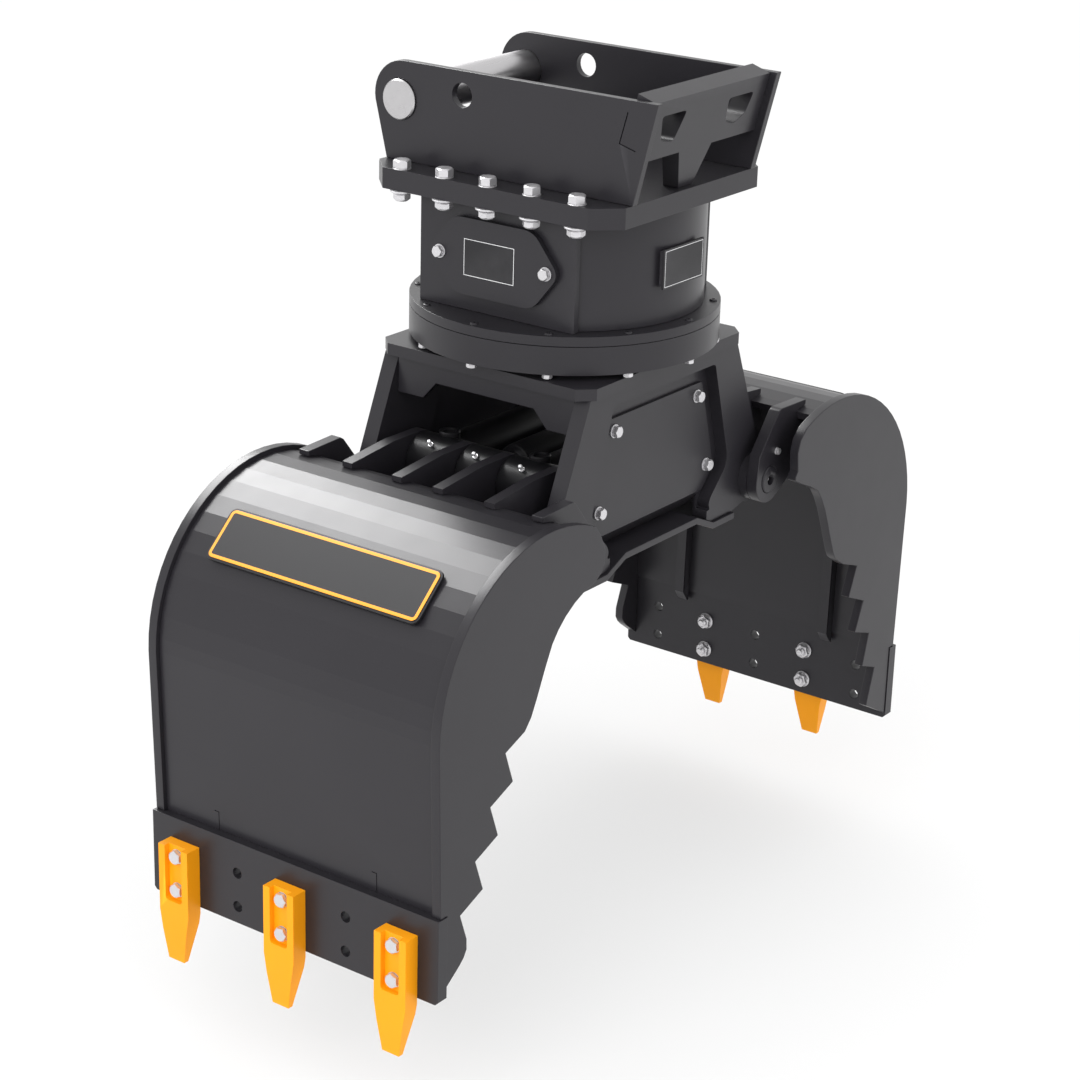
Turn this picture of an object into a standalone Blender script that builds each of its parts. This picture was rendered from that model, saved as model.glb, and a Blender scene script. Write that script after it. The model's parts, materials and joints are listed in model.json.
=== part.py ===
"""Sorting grapple for a small excavator, modelled in metres, Z up, tooth tips at z = 0.

X is the direction in which the two jaws open, Y runs along the jaw width.
The part is shown at rest, jaws fully open and the frame square to the adapter.
"""
import math

import bpy
from mathutils import Matrix, Vector

for old in list(bpy.data.objects):
    bpy.data.objects.remove(old, do_unlink=True)

# Clearances
GAP = 0.0003            # between pieces that are welded or bolted face to face
PIN_FIT = 0.0003        # radial, pin in a lug
RUNNING = 0.0005        # radial, pin or rod in a bearing
SIDE_PLAY = 0.0005      # axial, between an eye and the lug beside it

# Adapter (quick hitch side)
HITCH_PIN_DIA = 0.050
HITCH_PIN_Y = 0.1607
HITCH_PIN_DROP = 0.0476    # hitch pin, below the top of the adapter plates
ADAPTER_OUT_X = 0.132
ADAPTER_PLATE_T = 0.010
ADAPTER_H = 0.1231         # adapter side plates, above the base plate
ADAPTER_END_R = 0.0445
ADAPTER_FOOT_Y = 0.1866    # near end of the adapter plates, at their foot
ADAPTER_TOP_Y = 0.2167     # and at their top
LIFT_EYE_Y = 0.0655
LIFT_EYE_DROP = 0.0295
LIFT_EYE_DIA = 0.030
BASE_T = 0.0261
BASE_HALF_X = 0.1735
BASE_HALF_Y = 0.1846
BASE_CORNER = 0.031
BASE_HOLE_DIA = 0.090
FLANGE_BOLT_DIA = 0.014
FLANGE_BOLT_PITCH = 0.0653
FLANGE_BOLT_X = 0.1640
FLANGE_HEX_AF = 0.0215
FLANGE_HEAD_H = 0.010
FLANGE_NUT_H = 0.0115
BEAM_T = 0.022
BEAM_INSET = 0.011
BEAM_FRONT_TOP = (-0.2070, -0.0015)    # y, height from the top of the adapter plates
BEAM_BACK_TOP = (-0.1812, 0.0066)

# Rotator
FLAT_X = 0.144
FLAT_T = 0.010
FLAT_HALF_Y = 0.117
HOUSING_R = 0.1735
HOUSING_WALL = 0.012
RING_R = 0.195
HOUSING_H = 0.1391
UPPER_RING_H = 0.0126
LOWER_RING_H = 0.0356
NECK_H = 0.0070            # neck of the lower ring, above the frame top plate
UPPER_BORE_R = 0.128
RING_BORE_R = 0.150
NECK_R = 0.172
GEAR_MODULE = 0.006
RING_TEETH = 40
PINION_TEETH = 10
COVER_T = 0.008
COVER_BOLT_Y = 0.080
COVER_HALF_Y = 0.099
COVER_HALF_H = 0.048
WINDOW_HALF_Y = 0.074
WINDOW_HALF_H = 0.034
RING_BOLT_IN = 0.0095      # ring bolts, in from the rim of the upper ring
FLANGE_BOLT_IN = 0.0062    # and of the lower ring
MOTOR_R = 0.030
MOTOR_TOP_DROP = 0.0169
MOTOR_FLANGE_T = 0.010
UNION_R = 0.036
UNION_NECK_R = 0.028
UNION_FLANGE_R = 0.054
UNION_FLANGE_T = 0.009
SHAFT_R = 0.013
PINION_H = 0.033
PINION_LIFT = 0.0051       # pinion above the frame top plate

# Frame
TOP_Z = 0.7176
TOP_T = 0.0148
TOP_HALF_X = 0.1739
TOP_HALF_Y = 0.1622
TOP_CORNER = 0.0186
TOP_BORE_R = 0.072
FRAME_Y = 0.1574
FRAME_T = 0.022
APRON_X = 0.163
APRON_T = 0.008
POCKET_DEPTH = 0.0175
SIDE_COVER_T = 0.004
SIDE_COVER_BOLT_DIA = 0.010
BOTTOM_Z = 0.4880
BOTTOM_T = 0.009
WING_DROP = 0.0175         # outer wings of the bottom plate, below its middle
WING_X = 0.1191
BOTTOM_HALF_X = 0.1686
APRON_LOW_Z = 0.6535
APRON_NOTCH_Z = 0.6760
FRAME_TOP_X = 0.1607
BOSS_R = 0.031

# Jaws
PIVOT_X = 0.2102
PIVOT_Z = 0.5103
LEVER_X = 0.1574
LEVER_Z = 0.5744
PIVOT_PIN_DIA = 0.036
LEVER_PIN_DIA = 0.036
HUB_R = 0.0335
TUBE_R = 0.0315
LUG_T = 0.015
LUG_IN_Y = 0.0315
LUG_RIB_Y = 0.109
RIB_IN_Y = 0.1160
RIB_OUT_Y = 0.1310
LUG_OUT_Y = 0.1787
LUG_OUT_T = 0.016
SIDE_Y = 0.2235
SIDE_T = 0.013
CUTTER_HALF_Y = 0.2248
CUTTER_T = 0.0166
CUTTER_Z0 = 0.0736
CUTTER_Z1 = 0.1832
SHELL_C = (0.3219, 0.3978)
SHELL_R = 0.1974
SHELL_T = 0.010
RIM_PROUD = 0.006          # side plates, beyond the outside of the shell
WALL_LEAN = 0.0070         # foot of the shell wall, nearer the middle than its top
CUTTER_PROUD = 0.0052      # cutting plate, beyond the foot of the side plates
SHELL_START = 105.2
TOOTH_PITCH = 0.0855
TOOTH_BOLT_Z = (0.0962, 0.1417)
TOOTH_BOLT_DIA = 0.014
TOOTH_W = 0.0475
TOOTH_TIP_W = 0.0255
TOOTH_T = 0.0220
TOOTH_TOP_Z = 0.1560
TOOTH_TAPER_Z = 0.0663

# Cylinders
BARREL_R = 0.0285
BORE_R = 0.0235
ROD_R = 0.015
MID_BARREL_R = 0.0225
MID_BORE_R = 0.0180
MID_ROD_R = 0.012
BARREL_START = 0.026
BARREL_WALL_END = 0.0464
GLAND_IN = 0.2359
BARREL_END = 0.2559
PISTON_AT = 0.0474
PISTON_L = 0.022

# Heights of the stack, from the frame top plate upwards
RING_LOW_Z = TOP_Z + NECK_H
RING_SEAM_Z = RING_LOW_Z + LOWER_RING_H
RING_TOP_Z = RING_SEAM_Z + UPPER_RING_H
COVER_MID_Z = RING_TOP_Z + HOUSING_H / 2
BASE_Z = RING_TOP_Z + HOUSING_H + BASE_T
ADAPTER_TOP_Z = BASE_Z + ADAPTER_H
HITCH_PIN_Z = ADAPTER_TOP_Z - HITCH_PIN_DROP
LIFT_EYE_Z = ADAPTER_TOP_Z - LIFT_EYE_DROP
RIM_R = SHELL_R + RIM_PROUD
CUTTER_X = SHELL_C[0] + RIM_R - WALL_LEAN + CUTTER_PROUD

scene = bpy.context.scene
parts = bpy.data.collections.new("Sorting grapple")
cutters = bpy.data.collections.new("Cutters")
scene.collection.children.link(parts)
scene.collection.children.link(cutters)
cutters.hide_render = True


def paint(name, colour, roughness, metallic):
    mat = bpy.data.materials.new(name)
    mat.use_nodes = True
    bsdf = mat.node_tree.nodes["Principled BSDF"]
    bsdf.inputs["Base Color"].default_value = (*colour, 1.0)
    bsdf.inputs["Roughness"].default_value = roughness
    bsdf.inputs["Metallic"].default_value = metallic
    mat.diffuse_color = (*colour, 1.0)
    return mat


ANTHRACITE = paint("Anthracite paint", (0.064, 0.063, 0.070), 0.42, 0.0)
RING_PAINT = paint("Ring anthracite paint", (0.058, 0.057, 0.063), 0.40, 0.0)
TOOTH_ORANGE = paint("Orange paint", (0.85, 0.30, 0.02), 0.50, 0.0)
ZINC = paint("Zinc plated steel", (0.62, 0.61, 0.63), 0.35, 1.0)
CHROME = paint("Hard chromed rod", (0.80, 0.80, 0.82), 0.12, 1.0)
CAST = paint("Dark cast iron", (0.050, 0.050, 0.055), 0.55, 0.0)
PIN_STEEL = paint("Ground pin steel", (0.66, 0.66, 0.68), 0.30, 1.0)

PLANES = {
    "XY": Matrix(((1, 0, 0), (0, 1, 0), (0, 0, 1))),
    "XZ": Matrix(((1, 0, 0), (0, 0, -1), (0, 1, 0))),
    "YZ": Matrix(((0, 0, 1), (1, 0, 0), (0, 1, 0))),
}
NORMAL = {"XY": Vector((0, 0, 1)), "XZ": Vector((0, 1, 0)), "YZ": Vector((1, 0, 0))}


def to_mesh(obj, name):
    """Replace a curve or modified object by its evaluated mesh, welded."""
    bpy.context.view_layer.update()
    graph = bpy.context.evaluated_depsgraph_get()
    mesh = bpy.data.meshes.new_from_object(obj.evaluated_get(graph))
    data = obj.data
    bpy.data.objects.remove(obj, do_unlink=True)
    if data.users == 0 and isinstance(data, bpy.types.Curve):
        bpy.data.curves.remove(data)
    new = bpy.data.objects.new(name, mesh)
    scene.collection.objects.link(new)
    bpy.ops.object.select_all(action="DESELECT")
    bpy.context.view_layer.objects.active = new
    new.select_set(True)
    bpy.ops.object.mode_set(mode="EDIT")
    bpy.ops.mesh.select_all(action="SELECT")
    bpy.ops.mesh.remove_doubles(threshold=0.00001)
    bpy.ops.mesh.normals_make_consistent(inside=False)
    bpy.ops.object.mode_set(mode="OBJECT")
    return new


def prism(name, rings, thickness, plane, level):
    """Plate with closed outlines (the first outside, the others holes)."""
    curve = bpy.data.curves.new(name, "CURVE")
    curve.dimensions = "2D"
    curve.fill_mode = "BOTH"
    curve.extrude = thickness / 2
    for ring in rings:
        spline = curve.splines.new("POLY")
        spline.points.add(len(ring) - 1)
        for point, (a, b) in zip(spline.points, ring):
            point.co = (a, b, 0.0, 1.0)
        spline.use_cyclic_u = True
    obj = bpy.data.objects.new(name, curve)
    scene.collection.objects.link(obj)
    obj = to_mesh(obj, name)
    obj.data.transform(PLANES[plane].to_4x4())
    obj.data.transform(Matrix.Translation(NORMAL[plane] * level))
    return obj


def turned(name, profile, axis, at, steps=32):
    """Turned piece: profile of (radius, length) points revolved about an axis."""
    closed = profile[0][0] > 0 and profile[-1][0] > 0
    mesh = bpy.data.meshes.new(name)
    count = len(profile)
    edges = [(i, i + 1) for i in range(count - 1)]
    if closed:
        edges.append((count - 1, 0))
    mesh.from_pydata([(r, 0.0, z) for r, z in profile], edges, [])
    obj = bpy.data.objects.new(name, mesh)
    scene.collection.objects.link(obj)
    screw = obj.modifiers.new("Screw", "SCREW")
    screw.axis = "Z"
    screw.angle = math.tau
    screw.steps = steps
    screw.render_steps = steps
    screw.use_merge_vertices = True
    screw.merge_threshold = 0.00001
    obj = to_mesh(obj, name)
    turn = {"Z": Matrix.Identity(4), "X": Matrix.Rotation(math.pi / 2, 4, "Y"),
            "Y": Matrix.Rotation(-math.pi / 2, 4, "X")}[axis]
    obj.data.transform(Matrix.Translation(Vector(at)) @ turn)
    return obj


def rod(name, radius, length, axis, at, steps=32, edge=0.0):
    """Plain round bar centred on a point, with chamfered ends when edge > 0."""
    half = length / 2
    if edge:
        profile = [(0.0, half), (radius - edge, half), (radius, half - edge),
                   (radius, edge - half), (radius - edge, -half), (0.0, -half)]
    else:
        profile = [(0.0, half), (radius, half), (radius, -half), (0.0, -half)]
    return turned(name, profile, axis, at, steps)


def circle(cx, cy, radius, steps=32, start=0.0, end=360.0):
    full = abs(end - start) >= 359.9
    count = steps if full else steps + 1
    out = []
    for i in range(count):
        a = math.radians(start + (end - start) * i / steps)
        out.append((cx + radius * math.cos(a), cy + radius * math.sin(a)))
    return out


def rounded(points, radius, steps=4):
    """Round every corner of a polygon."""
    out = []
    count = len(points)
    for i, p in enumerate(points):
        p = Vector(p)
        a = (Vector(points[i - 1]) - p)
        b = (Vector(points[(i + 1) % count]) - p)
        cut = min(radius, a.length * 0.45, b.length * 0.45)
        a = p + a.normalized() * cut
        b = p + b.normalized() * cut
        for k in range(steps + 1):
            t = k / steps
            q = a * (1 - t) ** 2 + p * 2 * t * (1 - t) + b * t ** 2
            out.append((q.x, q.y))
    return out


def octagon(half_x, half_y, corner):
    return [(half_x, half_y - corner), (half_x - corner, half_y), (corner - half_x, half_y),
            (-half_x, half_y - corner), (-half_x, corner - half_y), (corner - half_x, -half_y),
            (half_x - corner, -half_y), (half_x, corner - half_y)]


def mirrored(points, side):
    """Outline for the left (-1) or right (+1) jaw from the right-hand one."""
    return [(side * x, z) for x, z in points]


def boolean(obj, other, operation):
    mod = obj.modifiers.new(operation.title(), "BOOLEAN")
    mod.operation = operation
    mod.solver = "EXACT"
    mod.object = other
    for coll in list(other.users_collection):
        coll.objects.unlink(other)
    cutters.objects.link(other)
    other.display_type = "WIRE"
    other.hide_render = True


def finish(obj, name, material, origin=None, smooth=None):
    """File the finished piece, with its origin on its joint axis where it moves."""
    name = name.lower().replace(" ", "_")
    obj.name = name
    obj.data.name = name
    obj.data.materials.clear()
    obj.data.materials.append(material)
    if origin is not None:
        obj.data.transform(Matrix.Translation(-Vector(origin)))
        obj.location = origin
    for coll in list(obj.users_collection):
        coll.objects.unlink(obj)
    parts.objects.link(obj)
    if smooth:
        bpy.ops.object.select_all(action="DESELECT")
        bpy.context.view_layer.objects.active = obj
        obj.select_set(True)
        obj.data.shade_smooth()
        obj.data.set_sharp_from_angle(angle=math.radians(smooth))
    return obj


# Adapter
base_low = BASE_Z - BASE_T
bolt_holes = []
bolt_places = []
for sx in (-1, 1):
    for k in range(-2, 3):
        bolt_places.append((sx * FLANGE_BOLT_X, k * FLANGE_BOLT_PITCH))
for bx, by in bolt_places:
    bolt_holes.append(circle(bx, by, FLANGE_BOLT_DIA / 2 + GAP, 12))
obj = prism("base", [octagon(BASE_HALF_X, BASE_HALF_Y, BASE_CORNER),
                     circle(0, 0, BASE_HOLE_DIA / 2, 32)] + bolt_holes,
            BASE_T, "XY", BASE_Z - BASE_T / 2)
finish(obj, "Adapter base plate", ANTHRACITE)

plate_foot_z = BASE_Z + GAP
end_y = 0.156
side_outline = [(-ADAPTER_FOOT_Y, plate_foot_z), (0.1815, plate_foot_z)]
side_outline += circle(end_y, ADAPTER_TOP_Z - ADAPTER_END_R, ADAPTER_END_R, 12, -20, 90)
side_outline += [(-ADAPTER_TOP_Y, ADAPTER_TOP_Z)]
for sx, name in ((-1, "Left adapter side plate"), (1, "Right adapter side plate")):
    obj = prism("side", [side_outline,
                         circle(HITCH_PIN_Y, HITCH_PIN_Z, HITCH_PIN_DIA / 2 + PIN_FIT, 32),
                         circle(LIFT_EYE_Y, LIFT_EYE_Z, LIFT_EYE_DIA / 2, 24)],
                ADAPTER_PLATE_T, "YZ", sx * (ADAPTER_OUT_X - ADAPTER_PLATE_T / 2))
    finish(obj, name, ANTHRACITE)

obj = rod("pin", HITCH_PIN_DIA / 2, 2 * ADAPTER_OUT_X + 0.008, "X",
          (0, HITCH_PIN_Y, HITCH_PIN_Z), 40, 0.0015)
finish(obj, "Hitch pin", PIN_STEEL, smooth=30)

# Wedge beam: leans with the plate ends, two pockets and two feet arches
beam_half_x = ADAPTER_OUT_X - ADAPTER_PLATE_T - GAP
front_foot_y = BEAM_INSET - ADAPTER_FOOT_Y
beam_profile = [(front_foot_y, plate_foot_z), (front_foot_y + BEAM_T, plate_foot_z),
                (BEAM_BACK_TOP[0], ADAPTER_TOP_Z + BEAM_BACK_TOP[1]),
                (BEAM_FRONT_TOP[0], ADAPTER_TOP_Z + BEAM_FRONT_TOP[1])]
obj = prism("beam", [beam_profile], 2 * beam_half_x, "YZ", 0.0)
pocket_top = ADAPTER_TOP_Z - 0.0205
pocket_low = ADAPTER_TOP_Z - 0.0565
arch_foot = BASE_Z - 0.008
arch_top = BASE_Z + 0.0490
pocket = rounded([(0.041, pocket_top), (0.095, pocket_top), (0.087, pocket_low + 0.010),
                  (0.066, pocket_low), (0.046, pocket_low + 0.006)], 0.006)
arch = [(0.0045, arch_foot), (0.0275, arch_top), (0.150, arch_top), (0.150, arch_foot)]
arch_left = [(-0.0175, arch_foot), (-0.0420, arch_top), (-0.150, arch_top), (-0.150, arch_foot)]
pocket_left = rounded([(-0.100, pocket_top), (-0.049, pocket_top),
                       (-0.063, pocket_low), (-0.090, pocket_low + 0.004)], 0.006)
for ring in (pocket, pocket_left, arch, arch_left):
    boolean(obj, prism("beam cutter", [ring], 0.12, "XZ", -0.19), "DIFFERENCE")
finish(obj, "Wedge beam", ANTHRACITE)

for index, (bx, by) in enumerate(bolt_places):
    head_low = BASE_Z + GAP
    nut_top = base_low - GAP
    profile_r = FLANGE_BOLT_DIA / 2
    obj = prism("bolt", [circle(bx, by, FLANGE_HEX_AF / math.sqrt(3), 6)],
                FLANGE_HEAD_H, "XY", head_low + FLANGE_HEAD_H / 2)
    shank = rod("bolt shank", profile_r, BASE_T + 2 * GAP + 0.008, "Z",
                (bx, by, BASE_Z - BASE_T / 2), 12)
    nut = prism("bolt nut", [circle(bx, by, FLANGE_HEX_AF / math.sqrt(3), 6)],
                FLANGE_NUT_H, "XY", nut_top - FLANGE_NUT_H / 2)
    boolean(obj, shank, "UNION")
    boolean(obj, nut, "UNION")
    row = "left" if bx < 0 else "right"
    finish(obj, f"Flange bolt {row} {index % 5 + 1}", ZINC)

# Rotator housing, covers and drive
housing_low = RING_TOP_Z + GAP
housing_top = base_low - GAP
plate_in_x = FLAT_X - FLAT_T
corner_y = math.sqrt(HOUSING_R ** 2 - plate_in_x ** 2)
corner_a = math.degrees(math.atan2(corner_y, plate_in_x))
outer = [(FLAT_X, -FLAT_HALF_Y), (FLAT_X, FLAT_HALF_Y), (plate_in_x, FLAT_HALF_Y)]
outer += circle(0, 0, HOUSING_R, 24, corner_a, 180 - corner_a)
outer += [(-plate_in_x, FLAT_HALF_Y), (-FLAT_X, FLAT_HALF_Y), (-FLAT_X, -FLAT_HALF_Y),
          (-plate_in_x, -FLAT_HALF_Y)]
outer += circle(0, 0, HOUSING_R, 24, 180 + corner_a, 360 - corner_a)
outer += [(plate_in_x, -FLAT_HALF_Y)]
inner_r = HOUSING_R - HOUSING_WALL
inner_x = FLAT_X - HOUSING_WALL - 0.002
inner_a = math.degrees(math.acos(inner_x / inner_r))
inner = circle(0, 0, inner_r, 16, inner_a, 180 - inner_a)
inner += circle(0, 0, inner_r, 16, 180 + inner_a, 360 - inner_a)
obj = prism("housing", [outer, inner], housing_top - housing_low, "XY",
            (housing_top + housing_low) / 2)


def hexagon(half_y, flat_y, half_h):
    return [(-half_y, COVER_MID_Z), (-flat_y, COVER_MID_Z + half_h), (flat_y, COVER_MID_Z + half_h),
            (half_y, COVER_MID_Z), (flat_y, COVER_MID_Z - half_h), (-flat_y, COVER_MID_Z - half_h)]


window = rounded(hexagon(WINDOW_HALF_Y, 0.61 * WINDOW_HALF_Y, WINDOW_HALF_H), 0.010)
boolean(obj, prism("housing window", [window], 0.40, "YZ", 0.0), "DIFFERENCE")
finish(obj, "Rotator housing", ANTHRACITE, smooth=30)

cover = rounded(hexagon(COVER_HALF_Y, 0.61 * COVER_HALF_Y, COVER_HALF_H), 0.014, 5)
for sx, name in ((-1, "Left housing cover"), (1, "Right housing cover")):
    obj = prism("cover", [cover] + [circle(sy * COVER_BOLT_Y, COVER_MID_Z, 0.0048, 12)
                                    for sy in (-1, 1)],
                COVER_T, "YZ", sx * (FLAT_X + GAP + COVER_T / 2))
    finish(obj, name, ANTHRACITE)


def ring_pattern(pitch_r, hole_r):
    out = []
    for a in range(0, 360, 30):
        out.append(circle(pitch_r * math.cos(math.radians(a)), pitch_r * math.sin(math.radians(a)),
                          hole_r, 8))
    return out


ring_holes = ring_pattern(RING_R - RING_BOLT_IN, 0.0043)
obj = prism("ring", [circle(0, 0, RING_R, 60), circle(0, 0, UPPER_BORE_R, 40)] + ring_holes,
            RING_TOP_Z - RING_SEAM_Z - GAP, "XY", (RING_TOP_Z + RING_SEAM_Z + GAP) / 2)
finish(obj, "Upper slew ring", RING_PAINT, smooth=20)

pinion_at = GEAR_MODULE * (RING_TEETH - PINION_TEETH) / 2
motor_low = RING_TOP_Z + GAP
motor_top = housing_top - MOTOR_TOP_DROP
motor_neck = motor_low + MOTOR_FLANGE_T + 0.020
obj = turned("motor", [(0.0, motor_top), (MOTOR_R - 0.008, motor_top),
                       (MOTOR_R - 0.008, motor_top - 0.020), (MOTOR_R, motor_top - 0.025),
                       (MOTOR_R, motor_neck), (MOTOR_R + 0.004, motor_neck),
                       (MOTOR_R + 0.004, motor_low + 0.002), (0.0, motor_low + 0.002)],
             "Z", (0, pinion_at, 0), 24)
# The motor flange reaches over the bore of the upper ring and is bolted down on it
flange_r = (UPPER_BORE_R + inner_r) / 2
flange_foot = pinion_at - MOTOR_R - 0.010
motor_flange = circle(0, 0, flange_r, 10, 52, 128) + [(-0.036, flange_foot), (0.036, flange_foot)]
boolean(obj, prism("motor flange", [motor_flange], MOTOR_FLANGE_T, "XY",
                   motor_low + MOTOR_FLANGE_T / 2), "UNION")
finish(obj, "Slew motor", CAST, smooth=30)

# The union hangs by its flange under the adapter base plate
union_foot = TOP_Z + 0.0024
obj = turned("union", [(0.0, housing_top), (UNION_FLANGE_R, housing_top),
                       (UNION_FLANGE_R, housing_top - UNION_FLANGE_T),
                       (UNION_R, housing_top - UNION_FLANGE_T - 0.008),
                       (UNION_R, RING_TOP_Z + 0.022), (UNION_NECK_R, RING_TOP_Z + 0.017),
                       (UNION_NECK_R, union_foot), (0.0, union_foot)],
             "Z", (0, 0, 0), 28)
finish(obj, "Rotary union", CAST, smooth=30)


def gear_outline(teeth, module, tip_r, root_r, phase, slim):
    """Toothed ring with straight flanks, slimmed by the backlash."""
    out = []
    pitch = math.tau / teeth
    for i in range(teeth):
        mid = phase + i * pitch
        for radius, part in ((root_r, -0.33), (tip_r, -0.14), (tip_r, 0.14), (root_r, 0.33)):
            a = mid + pitch * part * slim
            out.append((radius * math.cos(a), radius * math.sin(a)))
    return out


ring_pitch_r = GEAR_MODULE * RING_TEETH / 2
pinion_pitch_r = GEAR_MODULE * PINION_TEETH / 2
gear_low = TOP_Z + GAP
ring_top = RING_SEAM_Z - GAP
# An internal gear: its teeth point inwards, so the hole outline has the tips at the small radius
ring_hole = gear_outline(RING_TEETH, GEAR_MODULE, ring_pitch_r - 0.7 * GEAR_MODULE,
                         ring_pitch_r + GEAR_MODULE, math.pi / 2 + math.pi / RING_TEETH, 0.86)
obj = prism("ring", [circle(0, 0, NECK_R, 48), ring_hole], ring_top - gear_low, "XY",
            (ring_top + gear_low) / 2)
flange_holes = ring_pattern(RING_R - FLANGE_BOLT_IN, 0.0030)
flange = prism("ring flange", [circle(0, 0, RING_R, 60), circle(0, 0, RING_BORE_R, 40)] + flange_holes,
               ring_top - RING_LOW_Z, "XY", (ring_top + RING_LOW_Z) / 2)
boolean(obj, flange, "UNION")
finish(obj, "Lower slew ring", RING_PAINT, (0, 0, RING_LOW_Z), smooth=20)

pinion_top = motor_low - 0.0005
pinion_low = TOP_Z + PINION_LIFT
pinion_high = pinion_low + PINION_H
obj = prism("pinion", [gear_outline(PINION_TEETH, GEAR_MODULE, pinion_pitch_r + 0.7 * GEAR_MODULE,
                                    pinion_pitch_r - GEAR_MODULE, math.pi / 2, 0.86)],
            PINION_H, "XY", pinion_low + PINION_H / 2)
obj.data.transform(Matrix.Translation((0, pinion_at, 0)))
shaft_low = pinion_high - 0.016
boolean(obj, rod("pinion shaft", SHAFT_R, pinion_top - shaft_low, "Z",
                 (0, pinion_at, (pinion_top + shaft_low) / 2), 20), "UNION")
finish(obj, "Drive pinion", PIN_STEEL, (0, pinion_at, pinion_low))

# Frame
top_low = TOP_Z - TOP_T
frame_top = top_low - GAP
obj = prism("top", [octagon(TOP_HALF_X, TOP_HALF_Y, TOP_CORNER), circle(0, 0, TOP_BORE_R, 40)],
            TOP_T, "XY", TOP_Z - TOP_T / 2)
finish(obj, "Frame top plate", ANTHRACITE, (0, 0, TOP_Z))

foot_z = BOTTOM_Z + GAP
wing_z = BOTTOM_Z - WING_DROP
wing_bend = WING_X - 0.0393
half = [(FRAME_TOP_X, frame_top), (0.2079, 0.589)]
half += circle(PIVOT_X, PIVOT_Z, 0.036, 12, 60, -115)
half += [(BOTTOM_HALF_X, wing_z + 0.0008), (WING_X + 0.0002, wing_z + 0.0008),
         (wing_bend + 0.0001, foot_z)]
outline = half + [(-x, z) for x, z in reversed(half)]
pocket = [(0.1113, 0.6850), (0.1480, 0.5609), (0.1500, 0.5496), (0.1460, 0.5370),
          (0.1150, 0.5050), (0.1110, 0.4960), (0.1150, 0.4878)]
pocket = rounded(pocket + [(-x, z) for x, z in reversed(pocket)], 0.005, 3)
hatch = [(0.0780, 0.6420), (0.1030, 0.5420), (0.1080, 0.5150), (0.1080, 0.4600)]
hatch = hatch + [(-x, z) for x, z in reversed(hatch)]
cover_bolts = [(sx * bx, bz) for sx in (-1, 1) for bx, bz in ((0.0906, 0.6451), (0.1186, 0.5465))]
for sy, name in ((-1, "Near"), (1, "Far")):
    mid = sy * (FRAME_Y - FRAME_T / 2)
    obj = prism("cheek", [outline], FRAME_T, "XZ", mid)
    depth = POCKET_DEPTH + 0.01
    boolean(obj, prism("cheek pocket", [pocket], depth, "XZ",
                       sy * (FRAME_Y - POCKET_DEPTH + depth / 2)), "DIFFERENCE")
    boolean(obj, prism("cheek hatch", [hatch], 3 * FRAME_T, "XZ", mid), "DIFFERENCE")
    for bx, bz in cover_bolts:
        boolean(obj, rod("cheek thread", SIDE_COVER_BOLT_DIA / 2 - 0.0005, 0.06, "Y",
                         (bx, mid, bz), 8), "DIFFERENCE")
    boss_in = LUG_RIB_Y + LUG_T / 2 + 3 * SIDE_PLAY
    boss_out = LUG_OUT_Y - LUG_OUT_T / 2 - SIDE_PLAY
    for sx in (-1, 1):
        boolean(obj, rod("cheek boss", BOSS_R, boss_out - boss_in, "Y",
                         (sx * PIVOT_X, sy * (boss_out + boss_in) / 2, PIVOT_Z), 28), "UNION")
        boolean(obj, rod("cheek bore", PIVOT_PIN_DIA / 2 + RUNNING, 0.2, "Y",
                         (sx * PIVOT_X, mid, PIVOT_Z), 24), "DIFFERENCE")
    finish(obj, f"{name} frame side plate", ANTHRACITE, (0, 0, TOP_Z), smooth=30)

# Folded side cover: lies on the pocket floor, its foot leans inwards through the hatch
for sy, name in ((-1, "Near"), (1, "Far")):
    face = FRAME_Y - POCKET_DEPTH + GAP
    fold_z = 0.5130
    lean = 0.020
    foot = foot_z + 0.002
    side_edge = [(0.1030, 0.6615), (0.1310, 0.5640), (0.1345, 0.5480), (0.1325, 0.5377),
                 (0.1140, fold_z)]
    upper = rounded(side_edge + [(-x, z) for x, z in reversed(side_edge)], 0.004, 3)
    obj = prism("cover", [upper] + [circle(bx, bz, SIDE_COVER_BOLT_DIA / 2 + GAP, 12)
                                    for bx, bz in cover_bolts],
                SIDE_COVER_T, "XZ", sy * (face + SIDE_COVER_T / 2))
    fold = [(sy * face, fold_z + 0.008), (sy * (face + SIDE_COVER_T), fold_z + 0.008),
            (sy * (face + SIDE_COVER_T), fold_z), (sy * (face + SIDE_COVER_T - lean), foot),
            (sy * (face - lean), foot), (sy * face, fold_z)]
    boolean(obj, prism("cover fold", [fold], 0.2150, "YZ", 0.0), "UNION")
    finish(obj, f"{name} frame cover", ANTHRACITE, (0, 0, TOP_Z))

apron_half = FRAME_Y - FRAME_T - GAP
apron = [(-apron_half, frame_top), (-apron_half, APRON_LOW_Z), (-0.095, APRON_LOW_Z),
         (-0.075, APRON_NOTCH_Z), (0.075, APRON_NOTCH_Z), (0.095, APRON_LOW_Z),
         (apron_half, APRON_LOW_Z), (apron_half, frame_top)]
for sx, name in ((-1, "Left apron"), (1, "Right apron")):
    finish(prism("apron", [apron], APRON_T, "YZ", sx * (APRON_X - APRON_T / 2)), name,
           ANTHRACITE, (0, 0, TOP_Z))

lower = [(-BOTTOM_HALF_X, wing_z), (-WING_X, wing_z), (-wing_bend, BOTTOM_Z),
         (wing_bend, BOTTOM_Z), (WING_X, wing_z), (BOTTOM_HALF_X, wing_z)]
lower += [(x, z - BOTTOM_T) for x, z in reversed(lower)]
finish(prism("bottom", [lower], 2 * (FRAME_Y + 0.0045), "XZ", 0.0), "Frame bottom plate",
       ANTHRACITE, (0, 0, TOP_Z))


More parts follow.
